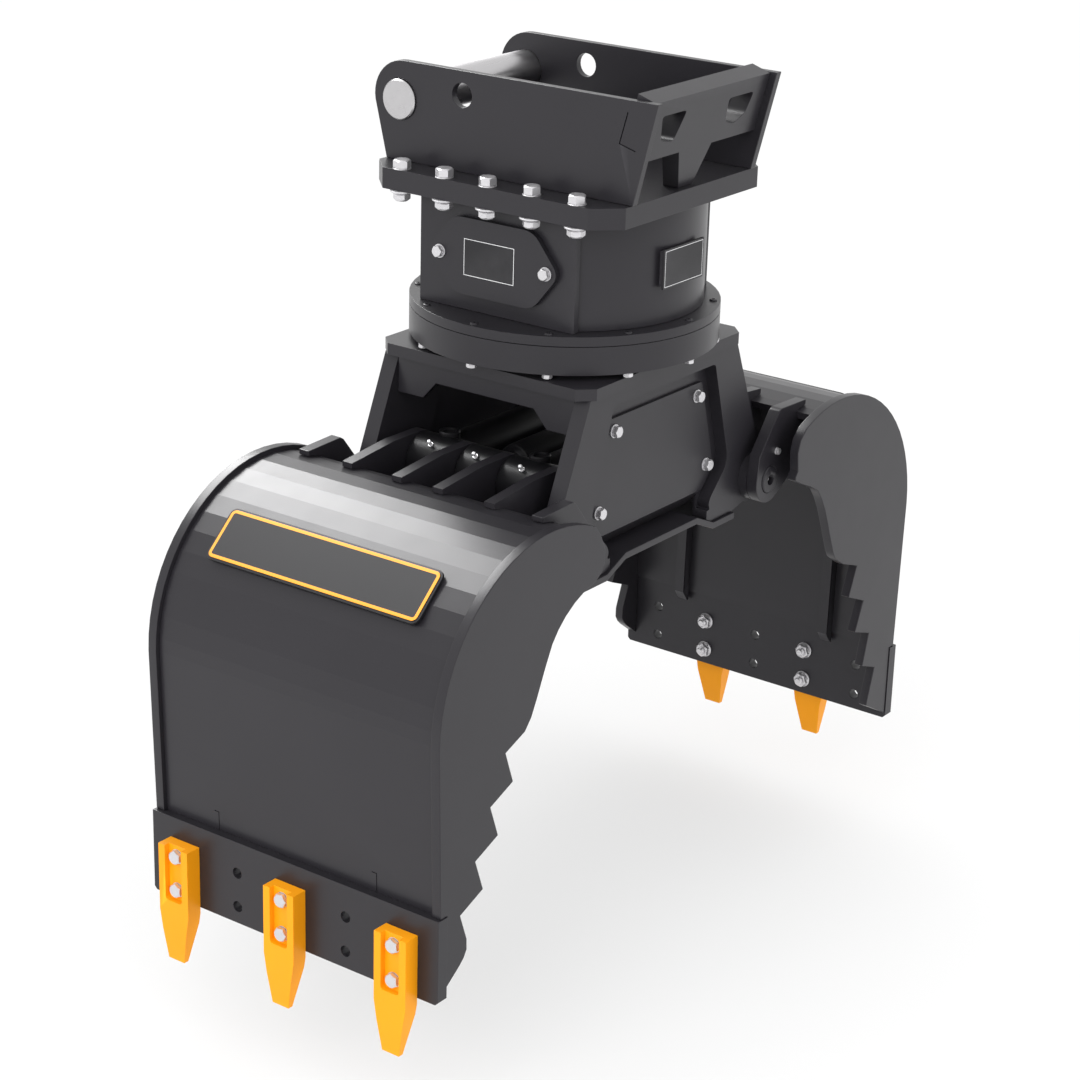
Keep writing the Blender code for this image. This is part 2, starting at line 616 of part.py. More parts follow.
# Jaws, drawn for the right-hand side and mirrored for the left
def shell_point(radius, angle):
    a = math.radians(angle)
    return (SHELL_C[0] + radius * math.cos(a), SHELL_C[1] + radius * math.sin(a))


def arc(radius, start, end, steps):
    return [shell_point(radius, start + (end - start) * i / steps) for i in range(steps + 1)]


cutter_in_x = CUTTER_X - CUTTER_T
blade_x = cutter_in_x - GAP
wall_foot_z = CUTTER_Z1 + GAP

# Inner edge of the two kinds of side plate, from the pivot down to the serration, whose points
# are set back from the cutting plate. A narrow plate always closes against a wide one, the jaws
# being the same part turned round.
narrow_edge = [(0.2242, 0.5684), (0.2141, 0.5470), (0.2152, 0.5302), (0.2197, 0.5200),
               (0.2320, 0.5117), (0.2523, 0.5066), (0.2725, 0.4976), (0.2905, 0.4859),
               (0.3040, 0.4734), (0.3152, 0.4591), (0.3276, 0.4341), (0.3433, 0.3988),
               (0.3529, 0.3794)]
narrow_teeth = [(0.1419, 0.3653), (0.1054, 0.3509), (0.1210, 0.3092), (0.0786, 0.2918),
                (0.0943, 0.2501), (0.0519, 0.2326), (0.0675, 0.1909), (0.0251, 0.1735),
                (0.0381, 0.1380), (0.0384, 0.1240), (0.0331, 0.1150), (0.0256, 0.1080),
                (0.0, 0.0890)]
wide_edge = [(0.2225, 0.5690), (0.2170, 0.5520), (0.2200, 0.5270), (0.2150, 0.5206),
             (0.2150, 0.5150), (0.2315, 0.5065), (0.2551, 0.4963), (0.2744, 0.4860),
             (0.2863, 0.4701), (0.2968, 0.4521), (0.3070, 0.4288), (0.3163, 0.4057),
             (0.3267, 0.3820), (0.3326, 0.3724)]
wide_teeth = [(0.1632, 0.3646), (0.1488, 0.3558), (0.1117, 0.3427), (0.1284, 0.3008),
              (0.0864, 0.2830), (0.1036, 0.2407), (0.0636, 0.2268), (0.0756, 0.1802),
              (0.0400, 0.1667), (0.0531, 0.1232), (0.0556, 0.1122), (0.0, 0.0820)]
narrow_edge += [(blade_x - back, z) for back, z in narrow_teeth]
wide_edge += [(blade_x - back, z) for back, z in wide_teeth]
rim = arc(RIM_R, 115, 0, 20) + [(SHELL_C[0] + RIM_R - WALL_LEAN, wall_foot_z),
                                (blade_x, wall_foot_z)]
narrow_plate = rim + list(reversed(narrow_edge))
wide_plate = rim + list(reversed(wide_edge))

shell = arc(SHELL_R, SHELL_START, 0, 24)
shell += [(SHELL_C[0] + SHELL_R - WALL_LEAN, wall_foot_z),
          (SHELL_C[0] + SHELL_R - WALL_LEAN - SHELL_T, wall_foot_z)]
shell += arc(SHELL_R - SHELL_T, 0, SHELL_START, 24)

# The lugs grip the shell edge: a short nose above it, a web or a long rib below
nose = arc(SHELL_R + GAP, SHELL_START - 6.4, SHELL_START + 0.12, 3)
slot_start = SHELL_START + 0.12
web_r = SHELL_R - SHELL_T - GAP
crown_z = SHELL_C[1] + web_r
nose_top = (nose[0][0], nose[0][1] + 0.007)
lever_top = circle(LEVER_X, LEVER_Z, HUB_R, 12, 90, 245)
pivot_low = circle(PIVOT_X, PIVOT_Z, TUBE_R, 8, 200, 300)


def lug(top, low):
    """Outline of a lug: nose, shell slot, web, pivot end, lever end."""
    out = [nose_top] + nose
    out += arc(web_r, slot_start, SHELL_START - 20.1, 4)
    out += [(0.3380, crown_z - 0.0149), (0.2950, crown_z - 0.0619)]
    return out + low + top


# Long rib down the inside of the shell, welded to the outer face of its lug
wall = SHELL_C[0] + web_r
foot = wall - WALL_LEAN
rib = arc(web_r, 100, 0, 15)
rib += [(foot, wall_foot_z), (foot, CUTTER_Z1 - 0.0146), (foot - 0.004, CUTTER_Z1 - 0.0132),
        (foot - 0.015, CUTTER_Z1 + 0.0018), (wall - 0.018, SHELL_C[1])]
rib += arc(web_r - 0.020, 12, 60, 6)
rib += [(wall - 0.1130, crown_z - 0.0399), (wall - 0.1590, crown_z - 0.0389),
        (wall - 0.2040, crown_z - 0.0479)]


def holes(*places):
    return [circle(x, z, r, 28) for x, z, r in places]


pivot_hole = (PIVOT_X, PIVOT_Z, PIVOT_PIN_DIA / 2 + PIN_FIT)
lever_hole = (LEVER_X, LEVER_Z, LEVER_PIN_DIA / 2 + PIN_FIT)
inner_low = list(reversed(pivot_low))
inner_top = list(reversed(lever_top)) + [(LEVER_X + 0.0539, LEVER_Z + HUB_R + 0.0001)]
outer_low = circle(PIVOT_X, PIVOT_Z, TUBE_R, 10, -60, -185)
outer_top = [(PIVOT_X - 0.0270, PIVOT_Z + 0.0371), (PIVOT_X + 0.0148, PIVOT_Z + 0.0887),
             (PIVOT_X + 0.0208, PIVOT_Z + 0.0922)]


def place_holes(rings, side):
    return [mirrored(ring, side) for ring in rings]


for side, jaw in ((-1, "Left"), (1, "Right")):
    pivot = (side * PIVOT_X, 0.0, PIVOT_Z)
    lever = (side * LEVER_X, 0.0, LEVER_Z)

    obj = prism("shell", [mirrored(shell, side)], 2 * (SIDE_Y - SIDE_T - GAP), "XZ", 0.0)
    finish(obj, f"{jaw} jaw shell", ANTHRACITE, pivot, smooth=30)

    for sy, where in ((-1, "near"), (1, "far")):
        outline = narrow_plate if side == sy else wide_plate
        obj = prism("plate", [mirrored(outline, side)], SIDE_T, "XZ",
                    sy * (SIDE_Y - SIDE_T / 2))
        finish(obj, f"{jaw} jaw {where} side plate", ANTHRACITE, pivot)

    bolt_rings = [circle(k * TOOTH_PITCH, z, TOOTH_BOLT_DIA / 2 + GAP, 12)
                  for k in range(-2, 3) for z in TOOTH_BOLT_Z]
    blade = [(-CUTTER_HALF_Y, CUTTER_Z0 + 0.004), (-CUTTER_HALF_Y + 0.004, CUTTER_Z0),
             (CUTTER_HALF_Y - 0.004, CUTTER_Z0), (CUTTER_HALF_Y, CUTTER_Z0 + 0.004),
             (CUTTER_HALF_Y, CUTTER_Z1), (-CUTTER_HALF_Y, CUTTER_Z1)]
    obj = prism("blade", [blade] + bolt_rings, CUTTER_T, "YZ", side * (CUTTER_X - CUTTER_T / 2))
    finish(obj, f"{jaw} cutting plate", ANTHRACITE, pivot)

    # Inner lever block: four lugs on the torsion tube
    block = None
    for ly in (-LUG_RIB_Y, -LUG_IN_Y, LUG_IN_Y, LUG_RIB_Y):
        plate = prism("lug", [mirrored(lug(inner_top, inner_low), side)], LUG_T, "XZ", ly)
        if block is None:
            block = plate
        else:
            boolean(block, plate, "UNION")
    for sy in (-1, 1):
        plate = prism("lug rib", [mirrored(rib, side)], RIB_OUT_Y - RIB_IN_Y, "XZ",
                      sy * (RIB_OUT_Y + RIB_IN_Y) / 2)
        boolean(block, plate, "UNION")
    boolean(block, rod("lug tube", TUBE_R - 0.0008, 2 * LUG_RIB_Y, "Y", pivot, 28), "UNION")
    boolean(block, rod("lug bore", pivot_hole[2], 0.6, "Y", pivot, 24), "DIFFERENCE")
    boolean(block, rod("lug pin bore", lever_hole[2], 0.6, "Y", lever, 24), "DIFFERENCE")
    finish(block, f"{jaw} lever block", ANTHRACITE, pivot, smooth=30)

    for sy, where in ((-1, "near"), (1, "far")):
        ring = lug(outer_top, outer_low)
        obj = prism("outer lug", [mirrored(ring, side)] + place_holes(holes(pivot_hole), side),
                    LUG_OUT_T, "XZ", sy * LUG_OUT_Y)
        finish(obj, f"{jaw} jaw {where} outer lug", ANTHRACITE, pivot, smooth=30)

    obj = rod("pin", PIVOT_PIN_DIA / 2, 2 * (LUG_OUT_Y + LUG_OUT_T / 2) + 0.004, "Y", pivot,
              32, 0.0015)
    finish(obj, f"{jaw} pivot pin", PIN_STEEL, pivot, smooth=30)
    obj = rod("pin", LEVER_PIN_DIA / 2, 2 * (LUG_RIB_Y + LUG_T / 2) + 0.006, "Y", lever,
              32, 0.0015)
    finish(obj, f"{jaw} lever pin", PIN_STEEL, pivot, smooth=30)

    # Bolt-on teeth in alternate places, so that they pass each other when the jaws close
    for k in ((-2, 0, 2) if side < 0 else (-1, 1)):
        y = k * TOOTH_PITCH
        x_in = CUTTER_X + GAP
        x_out = x_in + TOOTH_T
        front = [(y - TOOTH_W / 2, TOOTH_TOP_Z), (y - TOOTH_W / 2, TOOTH_TAPER_Z),
                 (y - TOOTH_TIP_W / 2, 0.0), (y + TOOTH_TIP_W / 2, 0.0),
                 (y + TOOTH_W / 2, TOOTH_TAPER_Z), (y + TOOTH_W / 2, TOOTH_TOP_Z)]
        obj = prism("tooth", [front], TOOTH_T, "YZ", side * (x_in + TOOTH_T / 2))
        wedge = [(x_in - 0.01, 0.052), (x_in, 0.052), (x_out - 0.009, -0.004), (x_in - 0.01, -0.004)]
        boolean(obj, prism("tooth wedge", [mirrored(wedge, side)], 0.08, "XZ", y), "DIFFERENCE")
        back = [(x_out + 0.01, 0.040), (x_out, 0.040), (x_out - 0.003, -0.004),
                (x_out + 0.01, -0.004)]
        boolean(obj, prism("tooth back", [mirrored(back, side)], 0.08, "XZ", y), "DIFFERENCE")
        seat = rounded([(y - 0.0135, TOOTH_BOLT_Z[0] - 0.014), (y - 0.0135, TOOTH_BOLT_Z[1] + 0.03),
                        (y + 0.0135, TOOTH_BOLT_Z[1] + 0.03), (y + 0.0135, TOOTH_BOLT_Z[0] - 0.014)],
                       0.005, 3)
        boolean(obj, prism("tooth seat", [seat], 0.02, "YZ", side * (x_out + 0.002)),
                "DIFFERENCE")
        for z in TOOTH_BOLT_Z:
            boolean(obj, rod("tooth bore", TOOTH_BOLT_DIA / 2 + GAP, 0.08, "X",
                             (side * x_in, y, z), 14), "DIFFERENCE")
        place = {-2: "near", -1: "near", 0: "middle", 1: "far", 2: "far"}[k]
        finish(obj, f"{jaw} {place} tooth", TOOTH_ORANGE, pivot)

# Hydraulic cylinders: barrel on one lever pin, rod on the other
rib_clear = LUG_RIB_Y - LUG_T / 2
in_clear = LUG_IN_Y + LUG_T / 2
OUTER_EYE_W = rib_clear - in_clear - 2 * SIDE_PLAY
MIDDLE_EYE_W = 2 * (LUG_IN_Y - LUG_T / 2) - 2 * SIDE_PLAY
OUTER_CYL_Y = (rib_clear + in_clear) / 2
cylinders = (("near", -OUTER_CYL_Y, -1, OUTER_EYE_W, BARREL_R, BORE_R, ROD_R),
             ("middle", 0.0, 1, MIDDLE_EYE_W, MID_BARREL_R, MID_BORE_R, MID_ROD_R),
             ("far", OUTER_CYL_Y, -1, OUTER_EYE_W, BARREL_R, BORE_R, ROD_R))
for where, y, side, eye_w, barrel_r, bore_r, rod_r in cylinders:
    # side is the jaw whose lever pin carries the barrel; lengths run from that pin inwards
    head = (side * LEVER_X, y, LEVER_Z)
    tail = (-side * LEVER_X, y, LEVER_Z)
    eye_r = HUB_R - 0.0005

    def run(profile):
        return [(r, -side * s) for r, s in profile]

    tube = run([(barrel_r - 0.002, BARREL_START), (barrel_r, BARREL_START + 0.002),
                (barrel_r, BARREL_END - 0.002), (barrel_r - 0.002, BARREL_END),
                (rod_r + RUNNING, BARREL_END), (rod_r + RUNNING, GLAND_IN), (bore_r, GLAND_IN),
                (bore_r, BARREL_WALL_END)])
    solid = run([(0.0, BARREL_START)]) + tube + run([(0.0, BARREL_WALL_END)])
    obj = rod("barrel", eye_r, eye_w, "Y", head, 28, 0.0015)
    boolean(obj, turned("barrel tube", solid, "X", head, 28), "UNION")
    boolean(obj, rod("barrel eye bore", LEVER_PIN_DIA / 2 + RUNNING, 0.2, "Y", head, 24),
            "DIFFERENCE")
    finish(obj, f"Cylinder {where} barrel", ANTHRACITE, head, smooth=30)

    span = 2 * LEVER_X
    shaft = run([(0.0, PISTON_AT), (bore_r - GAP, PISTON_AT), (bore_r - GAP, PISTON_AT + PISTON_L),
                 (rod_r, PISTON_AT + PISTON_L), (rod_r, span - 0.040), (rod_r + 0.005, span - 0.038),
                 (rod_r + 0.005, span - 0.022), (0.0, span - 0.022)])
    obj = rod("rod", eye_r, eye_w, "Y", tail, 28, 0.0015)
    boolean(obj, turned("rod shaft", shaft, "X", head, 24), "UNION")
    boolean(obj, rod("rod eye bore", LEVER_PIN_DIA / 2 + RUNNING, 0.2, "Y", tail, 24),
            "DIFFERENCE")
    finish(obj, f"Cylinder {where} rod", CHROME, tail, smooth=30)
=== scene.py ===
"""Finish of the sorting grapple: painted and plated surfaces, fasteners, camera and light.

Metres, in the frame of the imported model: jaws open along X, Y along the jaw width, Z up.
"""
import json
import math

import bpy
from mathutils import Matrix, Vector

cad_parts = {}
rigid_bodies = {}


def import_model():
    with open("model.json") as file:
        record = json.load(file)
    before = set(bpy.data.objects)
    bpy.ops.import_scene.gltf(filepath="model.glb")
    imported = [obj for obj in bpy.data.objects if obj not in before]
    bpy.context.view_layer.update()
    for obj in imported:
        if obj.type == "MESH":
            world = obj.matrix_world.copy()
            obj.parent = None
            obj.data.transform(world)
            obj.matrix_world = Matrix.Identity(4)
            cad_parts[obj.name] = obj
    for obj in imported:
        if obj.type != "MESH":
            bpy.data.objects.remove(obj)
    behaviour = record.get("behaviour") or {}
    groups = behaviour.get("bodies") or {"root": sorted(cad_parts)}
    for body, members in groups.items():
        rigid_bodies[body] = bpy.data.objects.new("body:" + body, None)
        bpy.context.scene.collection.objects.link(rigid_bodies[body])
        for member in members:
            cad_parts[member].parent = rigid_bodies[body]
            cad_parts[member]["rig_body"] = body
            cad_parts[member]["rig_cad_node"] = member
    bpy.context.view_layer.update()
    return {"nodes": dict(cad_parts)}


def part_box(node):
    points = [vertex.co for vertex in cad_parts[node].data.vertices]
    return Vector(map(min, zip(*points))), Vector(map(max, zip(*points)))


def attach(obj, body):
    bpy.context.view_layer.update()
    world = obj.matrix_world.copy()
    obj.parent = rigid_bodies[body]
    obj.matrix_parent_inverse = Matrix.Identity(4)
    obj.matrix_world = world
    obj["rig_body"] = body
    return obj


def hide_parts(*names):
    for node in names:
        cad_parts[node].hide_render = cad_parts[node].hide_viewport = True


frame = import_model()
scene = bpy.context.scene

# Sizes of the finish, in metres
PAINT_EDGE = 0.0012        # rounding of the painted plate edges
FINE_EDGE = 0.0007         # rounding of pins, bolts and covers
SMOOTH_ANGLE = 34.0        # degrees, edges sharper than this stay sharp
FLAT_ANGLE = 16.0          # the same for the adapter plates, whose faces stay quite flat
FLOOR_SIZE = 40.0
FLOOR_GLOW = 0.36          # light of the floor as the camera sees it, so that it reads as white
FLOOR_DROP = 0.095         # room under the open teeth, which swing lower as the jaws close

EYE_NIPPLE_ANGLE = 126.0   # degrees, direction in which the nipples on the eyes point

# Camera, at the photograph's viewing angle
CAMERA_AT = Vector((-2.6808, -1.9175, 1.7065))
CAMERA_RIGHT = Vector((0.5998, -0.7998, 0.0239))
CAMERA_BACK = Vector((-0.7517, -0.5530, 0.3593))
FOCAL_PIXELS = 2727.06
IMAGE_PIXELS = 1080.0
SENSOR_WIDTH = 36.0
CAMERA_SHIFT = (0.01538, 0.00115)

# Turns that carry a fastener, modelled upright, onto a face that looks along an axis
FACING = {"+X": Matrix.Rotation(math.pi / 2, 4, "Y"), "-X": Matrix.Rotation(-math.pi / 2, 4, "Y"),
          "+Y": Matrix.Rotation(-math.pi / 2, 4, "X"), "-Y": Matrix.Rotation(math.pi / 2, 4, "X"),
          "+Z": Matrix.Identity(4), "-Z": Matrix.Rotation(math.pi, 4, "X"),
          "eye": Matrix.Rotation(math.pi / 2 - math.radians(EYE_NIPPLE_ANGLE), 4, "Y")}

# Both jaws with their side along X, both ends of the jaw width with their side and direction
JAWS = ((-1, "left"), (1, "right"))
ENDS = ((-1, "near", "-Y"), (1, "far", "+Y"))

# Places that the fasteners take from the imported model
FLANGE_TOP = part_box("adapter_base_plate")[1].z
FLANGE_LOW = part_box("adapter_base_plate")[0].z
COVER_FACE_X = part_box("right_housing_cover")[1].x
COVER_MID_Z = (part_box("right_housing_cover")[0].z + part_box("right_housing_cover")[1].z) / 2
COVER_SCREW_Y = 0.080
SIDE_COVER_FACE_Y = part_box("far_frame_cover")[1].y
SIDE_COVER_BOLTS = ((0.0906, 0.6451), (0.1186, 0.5465))
UPPER_RING_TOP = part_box("upper_slew_ring")[1].z
LOWER_RING_FACE = 0.7246
RING_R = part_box("upper_slew_ring")[1].x
RING_SCREWS = 12
RING_SCREW_IN = 0.0095     # screws on the upper ring, in from its rim
RING_BOLT_IN = 0.0062      # bolts under the lower ring, the same
BLADE_IN_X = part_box("right_cutting_plate")[0].x
BLADE_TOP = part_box("right_cutting_plate")[1].z
TOOTH_OUT_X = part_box("right_near_tooth")[1].x
TOOTH_SLOT = 0.008
TOOTH_PITCH = 0.0855
TOOTH_BOLT_Z = (0.0962, 0.1417)
FLANGE_BOLT_X = 0.1640
FLANGE_BOLT_PITCH = 0.0653
PIVOT = (0.2102, 0.5103)
LEVER = (0.1574, 0.5744)
OUTER_LUG_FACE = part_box("right_jaw_near_outer_lug")[0].y
KEEPER_AT = (0.2240, 0.5463)
EYE_R = 0.0322             # seat of the nipples on the eyes of the outer cylinders
EYE_Y = 0.0705             # the outer cylinders, from the middle of the grapple
SHELL_CENTRE = (0.3219, 0.3978)
SHELL_R = 0.1974
SHELL_T = 0.010
SHELL_START = 105.2
SHELL_BEND = 8.0
WALL_LEAN = 0.007
BOARD_ANGLE = 132.6        # degrees, direction in which the board on the left jaw looks
TAB_Y = 0.1238             # rib tabs in the shells
TAB_TOP = 0.2085
PORT_AT = (0.1400, 0.07025, 0.611)
TAB_SEAM = ((-0.1751, 1.0461), (-0.1649, 1.0090), (-0.1870, 1.0032))
PIN_PROUD = 0.002          # ends of the pivot pins, beyond the outer lugs
PIN_RECESS = 0.013
ROD_EYE_REACH = 0.040


def deselect_all():
    if bpy.context.mode != "OBJECT":
        bpy.ops.object.mode_set(mode="OBJECT")
    bpy.ops.object.select_all(action="DESELECT")


def make_active(obj):
    deselect_all()
    bpy.context.view_layer.objects.active = obj
    obj.select_set(True)


def apply_modifier(obj, kind, **settings):
    make_active(obj)
    modifier = obj.modifiers.new(kind.title(), kind)
    for key, value in settings.items():
        setattr(modifier, key, value)
    bpy.ops.object.modifier_apply(modifier=modifier.name)


def smooth(obj, angle=SMOOTH_ANGLE):
    """Smooth the rounded edges while the flat faces stay flat."""
    make_active(obj)
    bpy.ops.object.shade_smooth_by_angle(angle=math.radians(angle))
    apply_modifier(obj, "WEIGHTED_NORMAL", keep_sharp=True, weight=80)


def settle(obj):
    """Put the place of a finished piece in its mesh, with the object at the origin."""
    make_active(obj)
    bpy.ops.object.transform_apply(location=True, rotation=True, scale=True)


def edit(obj):
    make_active(obj)
    bpy.ops.object.mode_set(mode="EDIT")


def close_up(obj):
    """Weld the mesh, turn its faces outwards and leave edit mode."""
    if obj.mode != "EDIT":
        edit(obj)
    bpy.ops.mesh.select_all(action="SELECT")
    bpy.ops.mesh.remove_doubles(threshold=0.000005)
    bpy.ops.mesh.normals_make_consistent(inside=False)
    bpy.ops.object.mode_set(mode="OBJECT")


def turned(name, profile, sides=32):
    """Turned piece, drawn up from its foot through the (radius, height) points of its profile."""
    radius, height = profile[0]
    deselect_all()
    bpy.ops.mesh.primitive_circle_add(vertices=sides, radius=radius, fill_type="NGON",
                                      location=(0, 0, height))
    obj = bpy.context.view_layer.objects.active
    obj.name = name
    bpy.ops.object.mode_set(mode="EDIT")
    bpy.ops.mesh.select_all(action="SELECT")
    for next_radius, next_height in profile[1:]:
        bpy.ops.mesh.extrude_region_move(
            TRANSFORM_OT_translate={"value": (0, 0, next_height - height)})
        ratio = next_radius / radius
        bpy.ops.transform.resize(value=(ratio, ratio, 1), center_override=(0, 0, next_height))
        radius, height = next_radius, next_height
    close_up(obj)
    settle(obj)
    return obj


def cut(obj, cutter, operation="DIFFERENCE"):
    apply_modifier(obj, "BOOLEAN", operation=operation, solver="EXACT", object=cutter)
    bpy.data.objects.remove(cutter, do_unlink=True)


def join(pieces, name):
    make_active(pieces[0])
    for piece in pieces[1:]:
        piece.select_set(True)
    bpy.ops.object.join()
    obj = bpy.context.view_layer.objects.active
    obj.name = name
    return obj


def file_piece(obj, name, body, material=None):
    """Name a finished piece and let it ride on its body."""
    obj.name = name
    obj.data.name = name
    if material is not None:
        obj.data.materials.clear()
        obj.data.materials.append(material)
    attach(obj, body)
    return obj


def copy_at(template, name, at, facing, body, spin=0.0):
    """Copy a piece modelled upright at the origin onto its place."""
    obj = template.copy()
    obj.data = template.data.copy()
    scene.collection.objects.link(obj)
    obj.matrix_world = (Matrix.Translation(at) @ FACING[facing]
                        @ Matrix.Rotation(math.radians(spin), 4, "Z"))
    settle(obj)
    return file_piece(obj, name, body)


def block(name, low, high):
    """Rectangular cutter between two corners."""
    deselect_all()
    middle = (Vector(low) + Vector(high)) / 2
    bpy.ops.mesh.primitive_cube_add(size=1, location=middle)
    obj = bpy.context.view_layer.objects.active
    obj.name = name
    obj.scale = Vector(high) - Vector(low)
    settle(obj)
    return obj


# Materials
def coordinates(nodes, links, scale=(1.0, 1.0, 1.0)):
    place = nodes.new("ShaderNodeTexCoord")
    mapping = nodes.new("ShaderNodeMapping")
    mapping.inputs["Scale"].default_value = scale
    links.new(place.outputs["Object"], mapping.inputs["Vector"])
    return mapping.outputs["Vector"]


def noise(nodes, links, vector, scale, detail=3.0, roughness=0.5):
    texture = nodes.new("ShaderNodeTexNoise")
    texture.inputs["Scale"].default_value = scale
    texture.inputs["Detail"].default_value = detail
    texture.inputs["Roughness"].default_value = roughness
    links.new(vector, texture.inputs["Vector"])
    return texture.outputs["Fac"]


def between(nodes, links, factor, low, high):
    """Carry a noise of about 0.3 to 0.7 into the range low to high."""
    spread = nodes.new("ShaderNodeMapRange")
    spread.inputs["From Min"].default_value = 0.30
    spread.inputs["From Max"].default_value = 0.70
    spread.inputs["To Min"].default_value = low
    spread.inputs["To Max"].default_value = high
    links.new(factor, spread.inputs["Value"])
    return spread.outputs["Result"]


def colours(nodes, links, factor, first, second):
    mix = nodes.new("ShaderNodeMix")
    mix.data_type = "RGBA"
    mix.inputs["A"].default_value = (*first, 1.0)
    mix.inputs["B"].default_value = (*second, 1.0)
    links.new(factor, mix.inputs["Factor"])
    return mix.outputs["Result"]


def bumps(nodes, links, shader, height, strength, distance):
    bump = nodes.new("ShaderNodeBump")
    bump.inputs["Strength"].default_value = strength
    bump.inputs["Distance"].default_value = distance
    links.new(height, bump.inputs["Height"])
    links.new(bump.outputs["Normal"], shader.inputs["Normal"])


def new_material(name):
    material = bpy.data.materials.new(name)
    material.use_nodes = True
    nodes = material.node_tree.nodes
    return material, nodes, material.node_tree.links, nodes["Principled BSDF"]


def painted_edge_highlight(nodes, links, vector, paint, edge_highlight_colour, amount):
    """Painted highlight on sharp edges: the colour turns lighter where the surface bends sharply,
    broken up by a noise.
    """
    shape = nodes.new("ShaderNodeNewGeometry")
    edge = nodes.new("ShaderNodeMapRange")
    edge.inputs["From Min"].default_value = 0.56
    edge.inputs["From Max"].default_value = 0.64
    edge.inputs["To Max"].default_value = amount
    links.new(shape.outputs["Pointiness"], edge.inputs["Value"])
    patches = noise(nodes, links, vector, 70.0, 4.0)
    broken = nodes.new("ShaderNodeMath")
    broken.operation = "MULTIPLY"
    links.new(edge.outputs["Result"], broken.inputs[0])
    links.new(patches, broken.inputs[1])
    mix = nodes.new("ShaderNodeMix")
    mix.data_type = "RGBA"
    mix.inputs["B"].default_value = (*edge_highlight_colour, 1.0)
    links.new(broken.outputs["Value"], mix.inputs["Factor"])
    links.new(paint, mix.inputs["A"])
    return mix.outputs["Result"]


def painted(name, colour, roughness, reflectance=0.5):
    """Sprayed machine paint: faint clouds in the colour, a painted highlight on sharp edges and
    fine orange peel.
    """
    material, nodes, links, shader = new_material(name)
    vector = coordinates(nodes, links)
    clouds = noise(nodes, links, vector, 7.0, 4.0)
    deeper = tuple(0.90 * c for c in colour)
    lighter = tuple(1.10 * c for c in colour)
    paint = colours(nodes, links, clouds, deeper, lighter)
    # lighter copy of the paint, used for the painted highlight on sharp edges
    edge = tuple(min(1.0, 1.9 * c + 0.02) for c in colour)
    links.new(painted_edge_highlight(nodes, links, vector, paint, edge, 0.8), shader.inputs["Base Color"])
    sheen = noise(nodes, links, vector, 26.0, 3.0)
    links.new(between(nodes, links, sheen, roughness - 0.012, roughness + 0.015),
              shader.inputs["Roughness"])
    peel = noise(nodes, links, vector, 620.0, 2.0)
    bumps(nodes, links, shader, peel, 0.10, 0.0004)
    shader.inputs["Specular IOR Level"].default_value = reflectance
    return material


def plated(name, colour, roughness, grain, metallic=0.75):
    """Plated or ground steel: fine streaks along one direction and a mottled gloss."""
    material, nodes, links, shader = new_material(name)
    vector = coordinates(nodes, links, grain)
    streaks = noise(nodes, links, vector, 90.0, 3.0)
    deeper = tuple(0.88 * c for c in colour)
    links.new(colours(nodes, links, streaks, deeper, colour), shader.inputs["Base Color"])
    links.new(between(nodes, links, streaks, roughness - 0.05, roughness + 0.08),
              shader.inputs["Roughness"])
    bumps(nodes, links, shader, streaks, 0.06, 0.0002)
    shader.inputs["Metallic"].default_value = metallic
    return material


def cast(name, colour):
    """Cast iron under a thin dark primer, with the grain of the sand mould."""
    material, nodes, links, shader = new_material(name)
    vector = coordinates(nodes, links)
    grain = noise(nodes, links, vector, 340.0, 5.0, 0.6)
    links.new(colours(nodes, links, grain, tuple(0.8 * c for c in colour),
                      tuple(1.25 * c for c in colour)), shader.inputs["Base Color"])
    links.new(between(nodes, links, grain, 0.48, 0.62), shader.inputs["Roughness"])
    bumps(nodes, links, shader, grain, 0.25, 0.0006)
    return material


ANTHRACITE = painted("anthracite_machine_paint", (0.0185, 0.0172, 0.0208), 0.34, 0.38)
RING_PAINT = painted("slew_ring_paint", (0.0180, 0.0167, 0.0202), 0.34, 0.38)
TOOTH_PAINT = painted("orange_tooth_paint", (1.00, 0.370, 0.004), 0.42, 0.30)
BORDER_PAINT = painted("orange_border_paint", (1.00, 0.380, 0.008), 0.45)
BOARD_PAINT = painted("dark_board_paint", (0.0110, 0.0105, 0.0125), 0.40, 0.38)
# near-black paint of the cylinders: their paint is darkened to paint in the shade deep inside the
# frame
CYLINDER_SHADE_PAINT = painted("cylinder_paint_darkened_as_shade", (0.0065, 0.0062, 0.0072), 0.36, 0.26)
ZINC = plated("zinc_plate", (0.70, 0.69, 0.71), 0.34, (1.0, 1.0, 1.0))
CHROME = plated("hard_chrome", (0.80, 0.80, 0.82), 0.14, (1.0, 0.12, 0.12), 1.0)
PIN_STEEL = plated("ground_pin_steel", (0.59, 0.58, 0.59), 0.30, (0.15, 1.0, 1.0), 1.0)
LINE_PAINT = painted("pale_line_paint", (0.62, 0.62, 0.64), 0.50)
CAST_IRON = cast("cast_iron_primer", (0.025, 0.025, 0.028))


